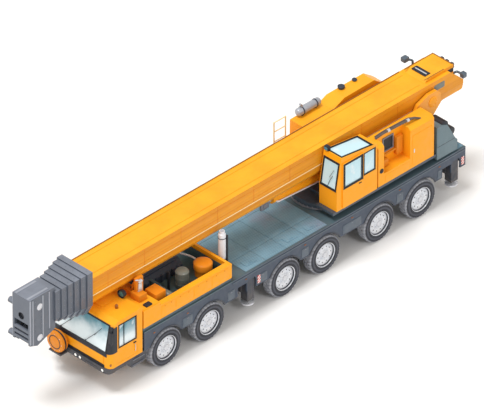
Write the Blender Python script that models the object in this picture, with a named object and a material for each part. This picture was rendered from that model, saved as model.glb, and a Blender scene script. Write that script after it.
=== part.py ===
"""Six-axle mobile crane with a telescopic boom.

Metres. +X is forward, +Y is the driver's left and +Z is up; the ground is z = 0.
Each sub-part is one closed solid with its own material. A moving one has its origin on its joint's axis.
"""
from math import atan2, cos, hypot, pi, sin

import bmesh
import bpy
from mathutils import Matrix, Vector

# General sizes
SEAT = 0.0003            # gap between pieces that touch
RUN = 0.0008             # gap around a pin that turns
OVER = 0.05              # how far a cut runs past a face
SWING = 0.006            # gap around a door or between bodies that pass each other
ROUND = 16               # sides of a large round piece
SMALL_ROUND = 8          # sides of a pin or rod
HALF_WIDTH = 1.5         # half the width across the tyres
DECK_INSET = 0.03        # each of these steps in from the one before, tyres to cab
CAB_INSET = 0.02
DECK_HALF_WIDTH = HALF_WIDTH - DECK_INSET
CAB_HALF_WIDTH = DECK_HALF_WIDTH - CAB_INSET

# Tyres, rims and axles
WHEEL_SIDES = 20
TYRE_RADIUS = 0.68
TYRE_WIDTH = 0.39
TREAD_WIDTH = 0.27
BEAD_RADIUS = 0.42
BULGE_RADIUS = 0.54
RIM_INSET = 0.022
DISC_RADIUS = 0.31
DISC_DEPTH = 0.15
DISC_THICKNESS = 0.05
HUB_RADIUS = 0.165
HUB_INSET = 0.05
SPINDLE_RADIUS = 0.10
SPINDLE_INSET = 0.012
KINGPIN_INSET = 0.48     # from the tyre's outer face to the steering axis
KINGPIN_RADIUS = 0.05
KNUCKLE_RADIUS = 0.11
KNUCKLE_HALF_HEIGHT = 0.21
KNUCKLE_WEB = 0.07
EYE_RADIUS = 0.12
EYE_HALF_HEIGHT = 0.085
BEAM_HALF_HEIGHT = 0.12
BEAM_HALF_LENGTH = 0.10
DIFF_RADIUS = 0.24
DIFF_HALF_WIDTH = 0.20
PROP_SHAFT_RADIUS = 0.05
STRUT_RADIUS = 0.055
STRUT_OFFSET = 0.62

# Columns: axle number, position along the carrier, whether it steers
AXLES = (
    (1, 4.67, True),
    (2, 2.75, True),
    (3, -0.65, False),
    (4, -2.45, False),
    (5, -4.90, True),
    (6, -6.78, True),
)
SIDES = (("left", 1), ("right", -1))

# Carrier
DECK_TOP = 1.74
DECK_THICKNESS = 0.14
FRAME_HALF_WIDTH = 0.42
FRAME_BOTTOM = 0.97
CARRIER_REAR = -8.83
CARRIER_FRONT = 5.64
CAB_GAP = 0.06
SKIRT_THICKNESS = 0.05
SKIRT_BOTTOM = 1.02
ARCH_GAP = 0.08
NOSE_FRONT = 6.90
NOSE_TOP = 1.00

# Outriggers: columns are the end's name, the box's rear face and its front face
OUTRIGGERS = (("front", 0.62, 1.50), ("rear", -8.62, -7.74))
BOX_BOTTOM = 0.80
BOX_TOP = 1.36
BOX_WALL = 0.03
JACK_INSET = 0.23        # from the crane's widest line to the jack's axis
JACK_HEAD_HALF = 0.15
HEAD_GAP = 0.06
BOX_HALF_WIDTH = HALF_WIDTH - JACK_INSET - JACK_HEAD_HALF - HEAD_GAP
JACK_HEAD_BOTTOM = 0.56
JACK_HEAD_TOP = 1.42
JACK_RADIUS = 0.085
PAD_RADIUS = 0.22
PAD_THICKNESS = 0.05
PAD_HEIGHT = 0.40

# Driver's cab
CAB_REAR = CARRIER_FRONT + CAB_GAP
CAB_FRONT = 7.14
CAB_BOTTOM = 1.02
CAB_ROOF = 2.74
CAB_CORNER = 0.20
CAB_WALL = 0.05
BROW_X = 6.94
BROW_Z = 2.63
ROOF_FRONT = 6.74
SCREEN_BOTTOM = 1.60
SCREEN_TOP = 2.56
SCREEN_MARGIN = 0.22
SCREEN_HALF_WIDTH = CAB_HALF_WIDTH - SCREEN_MARGIN
GLASS = 0.012
DOOR_REAR = 5.92
DOOR_FRONT = 6.80
DOOR_BOTTOM = 1.12
DOOR_TOP = 2.62
DOOR_FRAME = 0.07
DOOR_SILL = 1.72
BUMPER_FRONT = 7.18
BUMPER_BOTTOM = 0.82
BUMPER_INSET = 0.03
BUMPER_HALF_WIDTH = CAB_HALF_WIDTH - BUMPER_INSET
SEAT_WIDTH = 0.52
SEAT_DEPTH = 0.50
SEAT_HEIGHT = 0.42
SEAT_BACK = 0.60
SEAT_PAD = 0.12
SEAT_OFFSET = 0.72
SEAT_X = 5.92
DASH_DEPTH = 0.34
DASH_TOP = 1.66

# Hook block, parked on the bumper
HOOK_INSET = 0.82        # from the tyres' outer face to the hook block's middle
HOOK_Y = HOOK_INSET - HALF_WIDTH
HOOK_Z = 1.22
HOOK_RADIUS = 0.38
HOOK_THICKNESS = 0.26
HOOK_RIM_SHARE = 0.9

# Front deck behind the cab
TRAY_REAR = 1.72
TRAY_BASE = 1.88
TRAY_WALL = 0.10
TRAY_LEDGE = 0.20
TRAY_TOP = 2.42
TRAY_FLOOR = 0.05
LOCKER_REAR = 4.90
LOCKER_TOP = 2.54
LEDGE_THICKNESS = 0.05
ENGINE_REAR = 2.55
ENGINE_FRONT = 4.35
ENGINE_HALF_WIDTH = 0.46
ENGINE_Y = -0.35
ENGINE_TOP = 2.38
FILTER_X = 3.22
FILTER_Y = 0.73
FILTER_RADIUS = 0.225
FILTER_TOP = 2.60
FILTER_CAP_SHARE = 0.7
STACK_X = 1.50
STACK_Y = 0.79
STACK_RADIUS = 0.125
STACK_TOP = 3.26

# Boom rest
REST_REAR = 5.02
REST_FRONT = 5.32
REST_HALF_WIDTH = 0.80
REST_POST = 0.10
REST_TOP = 3.30
REST_BEAM_TOP = 2.70

# Slewing superstructure
SLEW_X = -3.80
RING_RADIUS = 1.02
RING_TOP = 1.95
RING_SIDES = 32
NOTCH_DEPTH = 0.52       # cut out of the floor ahead of the boom's middle
FLOOR_TOP = 2.05
FLOOR_FRONT = -2.86
FLOOR_REAR = -7.55
PLATFORM_INSET = 0.05
PLATFORM_HALF_WIDTH = DECK_HALF_WIDTH - PLATFORM_INSET
CHEEK_INNER = 0.64
CHEEK_OUTER = 0.76
CHEEK_REACH = 0.36
CHEEK_FRONT = -5.20
PIVOT_X = -8.05
PIVOT_Z = 3.50
PIVOT_RADIUS = 0.13
FOOT_X = -6.20
FOOT_Z = 2.26
FOOT_PIN_RADIUS = 0.06
FOOT_LUG = 0.08
FOOT_HALF_WIDTH = 0.13
FOOT_EYE_RADIUS = 0.15
WINCH_X = -6.98
WINCH_Z = 2.38
WINCH_RADIUS = 0.20
WINCH_FLANGE = 0.29
WINCH_HALF_WIDTH = 0.46
WINCH_FLANGE_THICKNESS = 0.05

# Houses on the superstructure
HOUSE_INNER = 0.80
HOUSE_OUTER = PLATFORM_HALF_WIDTH
HOUSE_SLOPE = 0.10
LEFT_HOUSE_FRONT = -4.90
LEFT_HOUSE_REAR = -7.43
LEFT_HOUSE_TOP = 3.62
RECESS_REAR = -6.35
RECESS_FRONT = -5.16
RECESS_DEPTH = 0.42
RECESS_FLOOR = 2.46
RIGHT_HOUSE_REAR = -7.50
# Columns: position along the crane and height, from the oil tank at the front to the rear
RIGHT_HOUSE_TOPS = (
    (-2.98, 3.10), (-3.75, 3.10), (-3.76, 3.86), (-5.10, 3.88), (-5.60, 4.10), (-6.95, 4.12), (-7.50, 3.72),
)

# Counterweight: its sloping back's columns are position along the crane and height
WEIGHT_BACK = ((-7.80, 3.05), (-8.02, 2.96), (-8.40, 2.26), (-8.78, 1.90))
WEIGHT_SLAB_TOP = 1.87
WEIGHT_BOTTOM = 1.80
WEIGHT_HALF_WIDTH = PLATFORM_HALF_WIDTH + PLATFORM_INSET / 2
WEIGHT_CORNER = 0.30
DRUMS = ((-7.93, 2.97), (-8.24, 2.58))
DRUM_RADIUS = 0.14
DRUM_INSET = 0.045
DRUM_GAP = 0.12
DRUM_INNER = HOUSE_INNER + DRUM_GAP
DRUM_OUTER = WEIGHT_HALF_WIDTH - DRUM_INSET

# Operator's cab
OP_REAR = -4.83
OP_FRONT = -3.00
OP_BROW = -3.20
OP_INNER = 0.66
OP_OUTER = PLATFORM_HALF_WIDTH + CAB_INSET
OP_TOP = 4.03
OP_REAR_TOP = 3.80
OP_WAIST = 2.85
OP_WALL = 0.045
OP_POST = 0.07
OP_ROOF_REAR = -4.66
OP_DOOR_REAR = -4.18
OP_DOOR_FRONT = -3.24
OP_DOOR_THICKNESS = 0.04
OP_SEAT_X = -4.35
OP_SEAT_SHARE = 0.7      # of the width inside the cab

# Boom
BOOM_TAIL = -9.60
BOOM_NOSE = 9.60
BOOM_HALF_WIDTH = 0.60
BOOM_TOP = 4.10
BOOM_BELLY = 3.42
BOOM_FLOOR = 2.81
BOOM_WALL = 0.018
BOOM_STEP = 0.045        # each section is this much smaller all round
SECTIONS = 5
TAIL_FRONT = -8.40       # the tail block's front, where the tube's hollow begins
TAIL_FLOOR = 3.10
TAIL_END_TOP = 3.55
TAIL_CREST_X = -9.00     # the tube's top slopes down from here to its end
TAIL_SLOPE = 0.30
HOOD_REAR = -9.28        # the raised hood over the tail
HOOD_FRONT = -7.90
HOOD_TOP = 4.22
HOOD_HALF_WIDTH = 0.46
TAIL_STEP = 0.20         # each section's tail is this far ahead of the one around it
TAIL_WALL = 0.10
BELLY_STEPS = 8
COLLAR_START = 7.13
COLLAR_PITCH = 0.235
COLLAR_GAP = 0.008
COLLAR_HALF_WIDTH = 0.69
COLLAR_TOP = 4.44
COLLAR_SHOULDER = 3.18
COLLAR_DROP = 0.045
COLLAR_STEP = 0.048
COLLAR_TOP_STEP = 0.04
COLLAR_BOTTOM_SHARE = 0.68
SHOE_LENGTH = 0.22
HEAD_HALF_WIDTH = 0.38
HEAD_PLATE = 0.07
HEAD_BACK_BOTTOM = 2.82
HEAD_BOTTOM = 2.53
HEAD_NOSE_BOTTOM = 2.66
HEAD_CHIN_SHARE = 0.3    # of the head's length, from its nose back to its lowest point
HEAD_TOP = 4.40
HEAD_BARS = (2.74, 2.92, 3.10)
HEAD_BAR = 0.09
HEAD_BROW = 0.95
HEAD_BROW_HOLE_Z = 3.66
HEAD_BROW_HOLE = 0.13
HEAD_SHEAVE_TOP = 3.98   # height of the upper sheaves' shaft
EARS = (2.62, 3.84)      # heights of the pins on the right that a lattice jib swings on
EAR_REACH = 0.72
EAR_RADIUS = 0.11
HEAD_SHAFT_RADIUS = 0.06
SHEAVE_RADIUS = 0.27
SHEAVE_THICKNESS = 0.09
SHEAVES = 3

# Luffing cylinder
ROD_EYE_X = -1.03
ROD_EYE_Z = 2.64
ROD_EYE_RADIUS = 0.11
ROD_RADIUS = 0.08
BARREL_RADIUS = 0.16
BARREL_WALL = 0.03
BARREL_LENGTH = 4.75
BARREL_NECK = 0.48
NECK_RADIUS = 0.11
ROD_INSIDE = 4.10
GLAND = 0.10
BRACKET_PLATE = 0.06
BRACKET_HALF_LENGTH = 0.17

# Columns: colour (linear red, green, blue), roughness, metallic
PAINTS = {
    "yellow_paint": ((0.85, 0.40, 0.03), 0.45, 0.0),
    "dark_paint": ((0.05, 0.06, 0.08), 0.60, 0.0),
    "slate_paint": ((0.13, 0.17, 0.21), 0.55, 0.0),
    "boom_grey": ((0.19, 0.18, 0.22), 0.50, 0.0),
    "bright_steel": ((0.60, 0.60, 0.62), 0.25, 1.0),
    "tyre_rubber": ((0.03, 0.03, 0.035), 0.85, 0.0),
    "tinted_glass": ((0.45, 0.62, 0.66), 0.08, 0.0),
    "seat_fabric": ((0.06, 0.06, 0.07), 0.90, 0.0),
}

AXIS_PLACES = {
    "x": lambda a, b, c: (c, a, b),
    "y": lambda a, b, c: (a, c, b),
    "z": lambda a, b, c: (a, b, c),
}


def prism(outline, axis, low, high):
    """A closed outline, pushed along an axis. Points are (y, z), (x, z) or (x, y) for axis x, y or z."""
    place = AXIS_PLACES[axis]
    bm = bmesh.new()
    ends = [[bm.verts.new(place(a, b, c)) for a, b in outline] for c in (low, high)]
    for ring in ends:
        bm.faces.new(ring)
    for i in range(len(outline)):
        bm.faces.new((ends[0][i - 1], ends[0][i], ends[1][i], ends[1][i - 1]))
    return closed_mesh(bm)


def box(x, y, z):
    """A block from three (low, high) pairs."""
    return prism([(x[0], y[0]), (x[1], y[0]), (x[1], y[1]), (x[0], y[1])], "z", *z)


def turned(profile, axis, centre, sides, hollow=False, phase=0.5):
    """A round piece from (place along the axis, radius) pairs. A hollow one's profile is a closed loop."""
    place = AXIS_PLACES[axis]
    middle = Vector(centre)
    bm = bmesh.new()
    rings = []
    for along, radius in profile:
        turns = [2 * pi * (i + phase) / sides for i in range(sides)]
        points = [middle + Vector(place(radius * sin(t), -radius * cos(t), along)) for t in turns]
        rings.append([bm.verts.new(p) for p in points])
    pairs = list(zip(rings, rings[1:]))
    if hollow:
        pairs.append((rings[-1], rings[0]))
    else:
        bm.faces.new(rings[0])
        bm.faces.new(rings[-1])
    for one, two in pairs:
        for i in range(sides):
            bm.faces.new((one[i - 1], one[i], two[i], two[i - 1]))
    return closed_mesh(bm)


def bore(axis, centre, low, high, radius, sides):
    """A cutter for a hole that a pin of that radius turns in: its flats face the pin's corners."""
    wide = (radius + RUN) / cos(pi / sides)
    return turned([(low, wide), (high, wide)], axis, centre, sides, phase=0)


def rod(start, end, radius, sides=SMALL_ROUND):
    """A straight round bar between two points."""
    start, end = Vector(start), Vector(end)
    mesh = turned([(0, radius), ((end - start).length, radius)], "z", (0, 0, 0), sides)
    turn = Vector((0, 0, 1)).rotation_difference(end - start).to_matrix().to_4x4()
    mesh.transform(Matrix.Translation(start) @ turn)
    return mesh


def closed_mesh(bm):
    bmesh.ops.recalc_face_normals(bm, faces=bm.faces)
    mesh = bpy.data.meshes.new("shape")
    bm.to_mesh(mesh)
    bm.free()
    return mesh


def joined(pieces, cuts=(), limits=()):
    """One solid: the pieces united, kept inside the limits, and less the cuts."""
    body = bpy.data.objects.new("body", pieces[0])
    bpy.context.collection.objects.link(body)
    steps = [(mesh, "UNION") for mesh in pieces[1:]]
    steps += [(mesh, "INTERSECT") for mesh in limits]
    steps += [(mesh, "DIFFERENCE") for mesh in cuts]
    tools = []
    for mesh, operation in steps:
        tool = bpy.data.objects.new("tool", mesh)
        bpy.context.collection.objects.link(tool)
        tools.append(tool)
        modifier = body.modifiers.new(operation, "BOOLEAN")
        modifier.operation = operation
        modifier.solver = "EXACT"
        modifier.object = tool
    view = bpy.context.evaluated_depsgraph_get()
    mesh = bpy.data.meshes.new_from_object(body.evaluated_get(view))
    for thing in [body] + tools:
        bpy.data.objects.remove(thing)
    return mesh


def paint(name):
    """The Principled material of that name, made once."""
    if name in bpy.data.materials:
        return bpy.data.materials[name]
    colour, roughness, metallic = PAINTS[name]
    material = bpy.data.materials.new(name)
    material.use_nodes = True
    shader = material.node_tree.nodes["Principled BSDF"]
    shader.inputs["Base Color"].default_value = (*colour, 1)
    shader.inputs["Roughness"].default_value = roughness
    shader.inputs["Metallic"].default_value = metallic
    return material


def group(name, place=(0, 0, 0), parent=None):
    """An empty that carries a body's pieces, standing on the body's joint."""
    empty = bpy.data.objects.new(name, None)
    bpy.context.collection.objects.link(empty)
    empty.parent = parent
    empty.location = Vector(place) - (world_place(parent) if parent else Vector())
    return empty


def world_place(thing):
    place = Vector()
    while thing:
        place += thing.location
        thing = thing.parent
    return place


def node(name, mesh, material, parent):
    """A finished sub-part, under the empty that carries it and with its origin there."""
    mesh.transform(Matrix.Translation(-world_place(parent)))
    mesh.materials.clear()
    mesh.materials.append(paint(material))
    piece = bpy.data.objects.new(name, mesh)
    mesh.name = name
    bpy.context.collection.objects.link(piece)
    piece.parent = parent
    return piece


def rounded_outline(low, high, half_width, corner, steps):
    """A plan outline with two rounded front corners."""
    points = [(low, -half_width)]
    for turn in range(steps + 1):
        angle = -pi / 2 + pi / 2 * turn / steps
        points.append((high - corner + corner * cos(angle), -half_width + corner + corner * sin(angle)))
    for turn in range(steps + 1):
        angle = pi / 2 * turn / steps
        points.append((high - corner + corner * cos(angle), half_width - corner + corner * sin(angle)))
    points.append((low, half_width))
    return points


# Wheels, knuckles and axles

def wheel_mesh(x, side):
    """A tyre on its rim, turned in one piece about the axle. Radii are measured to the middle of each flat."""
    half = TYRE_WIDTH / 2
    hole = SPINDLE_RADIUS + RUN
    face = half - HUB_INSET
    disc = half - DISC_DEPTH
    profile = [
        (face, hole), (face, HUB_RADIUS), (disc, DISC_RADIUS), (half - RIM_INSET, BEAD_RADIUS),
        (half, BULGE_RADIUS), (TREAD_WIDTH / 2, TYRE_RADIUS), (-TREAD_WIDTH / 2, TYRE_RADIUS),
        (-half, BULGE_RADIUS), (RIM_INSET - half, BEAD_RADIUS),
        (disc - DISC_THICKNESS, DISC_RADIUS), (disc - DISC_THICKNESS, hole),
    ]
    widen = 1 / cos(pi / WHEEL_SIDES)
    profile = [(side * along, radius * widen) for along, radius in profile]
    return turned(profile, "y", (x, side * (HALF_WIDTH - half), TYRE_RADIUS), WHEEL_SIDES, hollow=True)


def spindle_mesh(x, side, start):
    end = HALF_WIDTH - HUB_INSET - SPINDLE_INSET
    return rod((x, side * start, TYRE_RADIUS), (x, side * end, TYRE_RADIUS), SPINDLE_RADIUS, ROUND)


def knuckle_mesh(x, side):
    """The steering knuckle: two lugs round the axle's eye, a web outboard of it and the wheel's spindle."""
    axis_y = HALF_WIDTH - KINGPIN_INSET
    web = axis_y + EYE_RADIUS + SWING
    z = TYRE_RADIUS
    pieces = [spindle_mesh(x, side, web + KNUCKLE_WEB / 2)]
    ys = sorted((side * web, side * (web + KNUCKLE_WEB)))
    pieces.append(box((x - KNUCKLE_RADIUS, x + KNUCKLE_RADIUS), ys,
                      (z - KNUCKLE_HALF_HEIGHT, z + KNUCKLE_HALF_HEIGHT)))
    for end in (-1, 1):
        zs = sorted((z + end * (EYE_HALF_HEIGHT + SEAT), z + end * KNUCKLE_HALF_HEIGHT))
        pieces.append(turned([(zs[0], KNUCKLE_RADIUS), (zs[1], KNUCKLE_RADIUS)], "z",
                             (x, side * axis_y, 0), SMALL_ROUND))
        arm = sorted((side * axis_y, side * (web + KNUCKLE_WEB / 2)))
        pieces.append(box((x - KNUCKLE_RADIUS / 2, x + KNUCKLE_RADIUS / 2), arm, zs))
    pieces.append(turned([(z - KNUCKLE_HALF_HEIGHT / 2 - EYE_HALF_HEIGHT / 2, KINGPIN_RADIUS),
                          (z + KNUCKLE_HALF_HEIGHT / 2 + EYE_HALF_HEIGHT / 2, KINGPIN_RADIUS)],
                         "z", (x, side * axis_y, 0), SMALL_ROUND))
    return joined(pieces)


def axles_mesh():
    """All the axle beams, joined by the shaft that drives them."""
    z = TYRE_RADIUS
    axis_y = HALF_WIDTH - KINGPIN_INSET
    first, last = AXLES[0][1], AXLES[-1][1]
    pieces = [rod((last, 0, z), (first, 0, z), PROP_SHAFT_RADIUS)]
    cuts = []
    for number, x, steers in AXLES:
        pieces.append(turned([(-DIFF_HALF_WIDTH, DIFF_RADIUS / 2), (-DIFF_HALF_WIDTH / 2, DIFF_RADIUS),
                              (DIFF_HALF_WIDTH / 2, DIFF_RADIUS), (DIFF_HALF_WIDTH, DIFF_RADIUS / 2)],
                             "y", (x, 0, z), ROUND))
        reach = axis_y - EYE_RADIUS / 2 if steers else axis_y
        pieces.append(box((x - BEAM_HALF_LENGTH, x + BEAM_HALF_LENGTH), (-reach, reach),
                          (z - EYE_HALF_HEIGHT, z + EYE_HALF_HEIGHT)))
        pieces.append(box((x - BEAM_HALF_LENGTH, x + BEAM_HALF_LENGTH), (-STRUT_OFFSET, STRUT_OFFSET),
                          (z - BEAM_HALF_HEIGHT, z + BEAM_HALF_HEIGHT)))
        for _, side in SIDES:
            top = DECK_TOP - DECK_THICKNESS - SEAT
            pieces.append(rod((x, side * STRUT_OFFSET, z), (x, side * STRUT_OFFSET, top),
                              STRUT_RADIUS))
            if steers:
                pieces.append(turned([(z - EYE_HALF_HEIGHT, EYE_RADIUS), (z + EYE_HALF_HEIGHT, EYE_RADIUS)],
                                     "z", (x, side * axis_y, 0), SMALL_ROUND))
                cuts.append(bore("z", (x, side * axis_y, 0), z - BEAM_HALF_HEIGHT, z + BEAM_HALF_HEIGHT,
                                 KINGPIN_RADIUS, SMALL_ROUND))
            else:
                pieces.append(spindle_mesh(x, side, axis_y - OVER))
    return joined(pieces, cuts)


# Carrier

def carrier_mesh():
    """The frame, its deck, the side skirts with their arches, the outrigger boxes and the nose under the cab."""
    deck_bottom = DECK_TOP - DECK_THICKNESS
    pieces = [
        box((CARRIER_REAR, CARRIER_FRONT), (-FRAME_HALF_WIDTH, FRAME_HALF_WIDTH),
            (FRAME_BOTTOM, deck_bottom + OVER)),
        box((CARRIER_REAR, CARRIER_FRONT), (-DECK_HALF_WIDTH, DECK_HALF_WIDTH), (deck_bottom, DECK_TOP)),
        box((CARRIER_FRONT - OVER, NOSE_FRONT), (-FRAME_HALF_WIDTH, FRAME_HALF_WIDTH),
            (BUMPER_BOTTOM, NOSE_TOP)),
        box((CARRIER_FRONT - 2 * OVER, CARRIER_FRONT), (-FRAME_HALF_WIDTH, FRAME_HALF_WIDTH),
            (BUMPER_BOTTOM, deck_bottom + OVER)),
        box((TRAY_REAR, CARRIER_FRONT), (BUMPER_INSET - CAB_HALF_WIDTH, CAB_HALF_WIDTH - BUMPER_INSET),
            (deck_bottom, TRAY_BASE)),
    ]
    cuts = []
    for _, side in SIDES:
        ys = sorted((side * DECK_HALF_WIDTH, side * (DECK_HALF_WIDTH - SKIRT_THICKNESS)))
        pieces.append(box((CARRIER_REAR, CARRIER_FRONT), ys, (SKIRT_BOTTOM, deck_bottom + OVER)))
        for number, x, steers in AXLES:
            inner = DECK_HALF_WIDTH - SKIRT_THICKNESS
            reach = sorted((side * (inner - OVER), side * (DECK_HALF_WIDTH + OVER)))
            cuts.append(turned([(reach[0], TYRE_RADIUS + ARCH_GAP), (reach[1], TYRE_RADIUS + ARCH_GAP)],
                               "y", (x, 0, TYRE_RADIUS), ROUND))
    for name, rear, front in OUTRIGGERS:
        pieces.append(box((rear, front), (-BOX_HALF_WIDTH, BOX_HALF_WIDTH), (BOX_BOTTOM, deck_bottom + OVER)))
        skirt = (DECK_HALF_WIDTH - SKIRT_THICKNESS - OVER, DECK_HALF_WIDTH + OVER)
        for lane, (_, side) in enumerate(SIDES):
            low, high = beam_lane(rear, front, lane)
            cuts.append(box((low - SEAT, high + SEAT), (-DECK_HALF_WIDTH - OVER, DECK_HALF_WIDTH + OVER),
                            (BOX_BOTTOM + BOX_WALL, BOX_TOP)))
            middle = (low + high) / 2
            gap = JACK_HEAD_HALF + SWING
            cuts.append(box((middle - gap, middle + gap), sorted((side * skirt[0], side * skirt[1])),
                            (SKIRT_BOTTOM - OVER, JACK_HEAD_TOP + SWING)))
    return joined(pieces, cuts)


def beam_lane(rear, front, lane):
    """Where an outrigger beam lies in its box: the left beam is behind, the right one ahead."""
    middle = (rear + front) / 2
    if lane == 0:
        return rear + BOX_WALL, middle - BOX_WALL / 2
    return middle + BOX_WALL / 2, front - BOX_WALL


def beam_mesh(rear, front, lane, side):
    """A sliding outrigger beam with the head that holds its jack."""
    low, high = beam_lane(rear, front, lane)
    middle = (low + high) / 2
    outer = HALF_WIDTH - JACK_INSET + JACK_HEAD_HALF
    head = outer - 2 * JACK_HEAD_HALF
    pieces = [
        box((low, high), sorted((-side * (BOX_HALF_WIDTH - BOX_WALL), side * (head + OVER))),
            (BOX_BOTTOM + BOX_WALL + SEAT, BOX_TOP - SEAT)),
        box((middle - JACK_HEAD_HALF, middle + JACK_HEAD_HALF), sorted((side * head, side * outer)),
            (JACK_HEAD_BOTTOM, JACK_HEAD_TOP)),
    ]
    socket = JACK_RADIUS + SEAT
    place = (middle, side * (HALF_WIDTH - JACK_INSET), 0)
    return joined(pieces, [turned([(JACK_HEAD_BOTTOM - OVER, socket), (JACK_HEAD_TOP - OVER, socket)],
                                  "z", place, SMALL_ROUND)])


def jack_mesh(rear, front, lane, side):
    """The jack's rod with its round foot."""
    low, high = beam_lane(rear, front, lane)
    place = ((low + high) / 2, side * (HALF_WIDTH - JACK_INSET), 0)
    foot = PAD_HEIGHT + PAD_THICKNESS
    return joined([
        turned([(foot - PAD_THICKNESS / 2, JACK_RADIUS), (JACK_HEAD_TOP - OVER - SWING, JACK_RADIUS)],
               "z", place, SMALL_ROUND),
        turned([(PAD_HEIGHT, PAD_RADIUS), (foot, PAD_RADIUS), (foot + PAD_THICKNESS, JACK_RADIUS)],
               "z", place, ROUND),
    ])


# Front deck and what stands on it

def front_deck_mesh():
    """The tray behind the cab: floor, side walls with ledges, rear wall and the locker across its front."""
    base = TRAY_BASE + SEAT
    pieces = [
        box((TRAY_REAR, CARRIER_FRONT), (-CAB_HALF_WIDTH, CAB_HALF_WIDTH), (base, base + TRAY_FLOOR)),
        box((LOCKER_REAR, CARRIER_FRONT), (-CAB_HALF_WIDTH, CAB_HALF_WIDTH), (base, LOCKER_TOP)),
        box((TRAY_REAR, TRAY_REAR + TRAY_WALL), (-CAB_HALF_WIDTH, CAB_HALF_WIDTH), (base, TRAY_TOP)),
    ]
    for _, side in SIDES:
        wall = sorted((side * CAB_HALF_WIDTH, side * (CAB_HALF_WIDTH - TRAY_WALL)))
        ledge = sorted((side * CAB_HALF_WIDTH, side * (CAB_HALF_WIDTH - TRAY_LEDGE)))
        pieces.append(box((TRAY_REAR, CARRIER_FRONT), wall, (base, TRAY_TOP)))
        pieces.append(box((TRAY_REAR, CARRIER_FRONT), ledge, (TRAY_TOP - LEDGE_THICKNESS, TRAY_TOP)))
    return joined(pieces)


def engine_mesh():
    base = TRAY_BASE + 2 * SEAT + TRAY_FLOOR
    top = ENGINE_TOP
    outline = [
        (ENGINE_Y - ENGINE_HALF_WIDTH, base), (ENGINE_Y + ENGINE_HALF_WIDTH, base),
        (ENGINE_Y + ENGINE_HALF_WIDTH, (base + top) / 2), (ENGINE_Y + ENGINE_HALF_WIDTH / 2, top),
        (ENGINE_Y - ENGINE_HALF_WIDTH / 2, top), (ENGINE_Y - ENGINE_HALF_WIDTH, (base + top) / 2),
    ]
    return prism(outline, "x", ENGINE_REAR, ENGINE_FRONT)


def filter_mesh():
    base = TRAY_BASE + 2 * SEAT + TRAY_FLOOR
    cap = FILTER_TOP - FILTER_RADIUS / 4
    cap_radius = FILTER_RADIUS * FILTER_CAP_SHARE
    return turned([(base, FILTER_RADIUS), (cap, FILTER_RADIUS), (FILTER_TOP, cap_radius)],
                  "z", (FILTER_X, FILTER_Y, 0), ROUND)


def stack_mesh():
    base = DECK_TOP + SEAT
    neck = base + (STACK_TOP - base) / 4
    rim = STACK_RADIUS / 4
    return turned([(base, STACK_RADIUS / 2), (neck, STACK_RADIUS / 2), (neck, STACK_RADIUS),
                   (STACK_TOP - rim, STACK_RADIUS), (STACK_TOP, STACK_RADIUS - rim)],
                  "z", (STACK_X, STACK_Y, 0), ROUND)


def boom_rest_mesh():
    """The cradle behind the cab that the lowered boom lies in."""
    base = LOCKER_TOP + SEAT
    pieces = [box((REST_REAR, REST_FRONT), (-REST_HALF_WIDTH, REST_HALF_WIDTH), (base, REST_BEAM_TOP))]
    for _, side in SIDES:
        pieces.append(box((REST_REAR, REST_FRONT),
                          sorted((side * (REST_HALF_WIDTH - REST_POST), side * REST_HALF_WIDTH)), (base, REST_TOP)))
    return joined(pieces)


# Driver's cab

def cab_profile(inset=0):
    """The cab's side outline, or the same outline moved in by a wall's thickness."""
    return [
        (CAB_REAR + inset, CAB_BOTTOM + inset), (CAB_REAR + inset, CAB_ROOF - inset),
        (ROOF_FRONT, CAB_ROOF - inset), (BROW_X - inset, BROW_Z), (CAB_FRONT - inset, SCREEN_BOTTOM),
        (CAB_FRONT - inset, CAB_BOTTOM + inset),
    ]


def cab_plan(inset=0):
    return rounded_outline(CAB_REAR + inset, CAB_FRONT - inset, CAB_HALF_WIDTH - inset, CAB_CORNER - inset, 4)


def cab_solid(inset):
    return joined([prism(cab_profile(inset), "y", inset - CAB_HALF_WIDTH, CAB_HALF_WIDTH - inset)],
                  limits=[prism(cab_plan(inset), "z", 0, CAB_ROOF + OVER)])


def screen_share(z):
    """How far up the sloping windscreen a height lies."""
    return (z - SCREEN_BOTTOM) / (BROW_Z - SCREEN_BOTTOM)


def screen_x(z):
    return CAB_FRONT + (BROW_X - CAB_FRONT) * screen_share(z)


def cab_mesh():
    """The cab's hollow shell, with its windscreen and door openings cut."""
    cuts = [cab_solid(CAB_WALL)]
    cuts.append(box((BROW_X - CAB_WALL - OVER, CAB_FRONT + OVER), (-SCREEN_HALF_WIDTH, SCREEN_HALF_WIDTH),
                    (SCREEN_BOTTOM, SCREEN_TOP)))
    cuts.append(box((DOOR_REAR, DOOR_FRONT), (-CAB_HALF_WIDTH - OVER, CAB_HALF_WIDTH + OVER),
                    (DOOR_BOTTOM, DOOR_TOP)))
    return joined([cab_solid(0)], cuts)


def windscreen_mesh():
    low, high = SCREEN_BOTTOM + SEAT, SCREEN_TOP - SEAT
    front = [(screen_x(low), low), (screen_x(high), high)]
    outline = front + [(x - GLASS, z) for x, z in reversed(front)]
    return prism(outline, "y", SEAT - SCREEN_HALF_WIDTH, SCREEN_HALF_WIDTH - SEAT)


def door_mesh(side):
    """A cab door with its window cut, hinged at its front edge."""
    ys = sorted((side * CAB_HALF_WIDTH, side * (CAB_HALF_WIDTH - CAB_WALL)))
    front = DOOR_FRONT - SEAT
    body = box((DOOR_REAR + SWING, front), ys, (DOOR_BOTTOM + SWING, DOOR_TOP - SWING))
    window = box((DOOR_REAR + SWING + DOOR_FRAME, front - DOOR_FRAME),
                 (-CAB_HALF_WIDTH - OVER, CAB_HALF_WIDTH + OVER), (DOOR_SILL, DOOR_TOP - SWING - DOOR_FRAME))
    return joined([body], [window])


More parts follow.
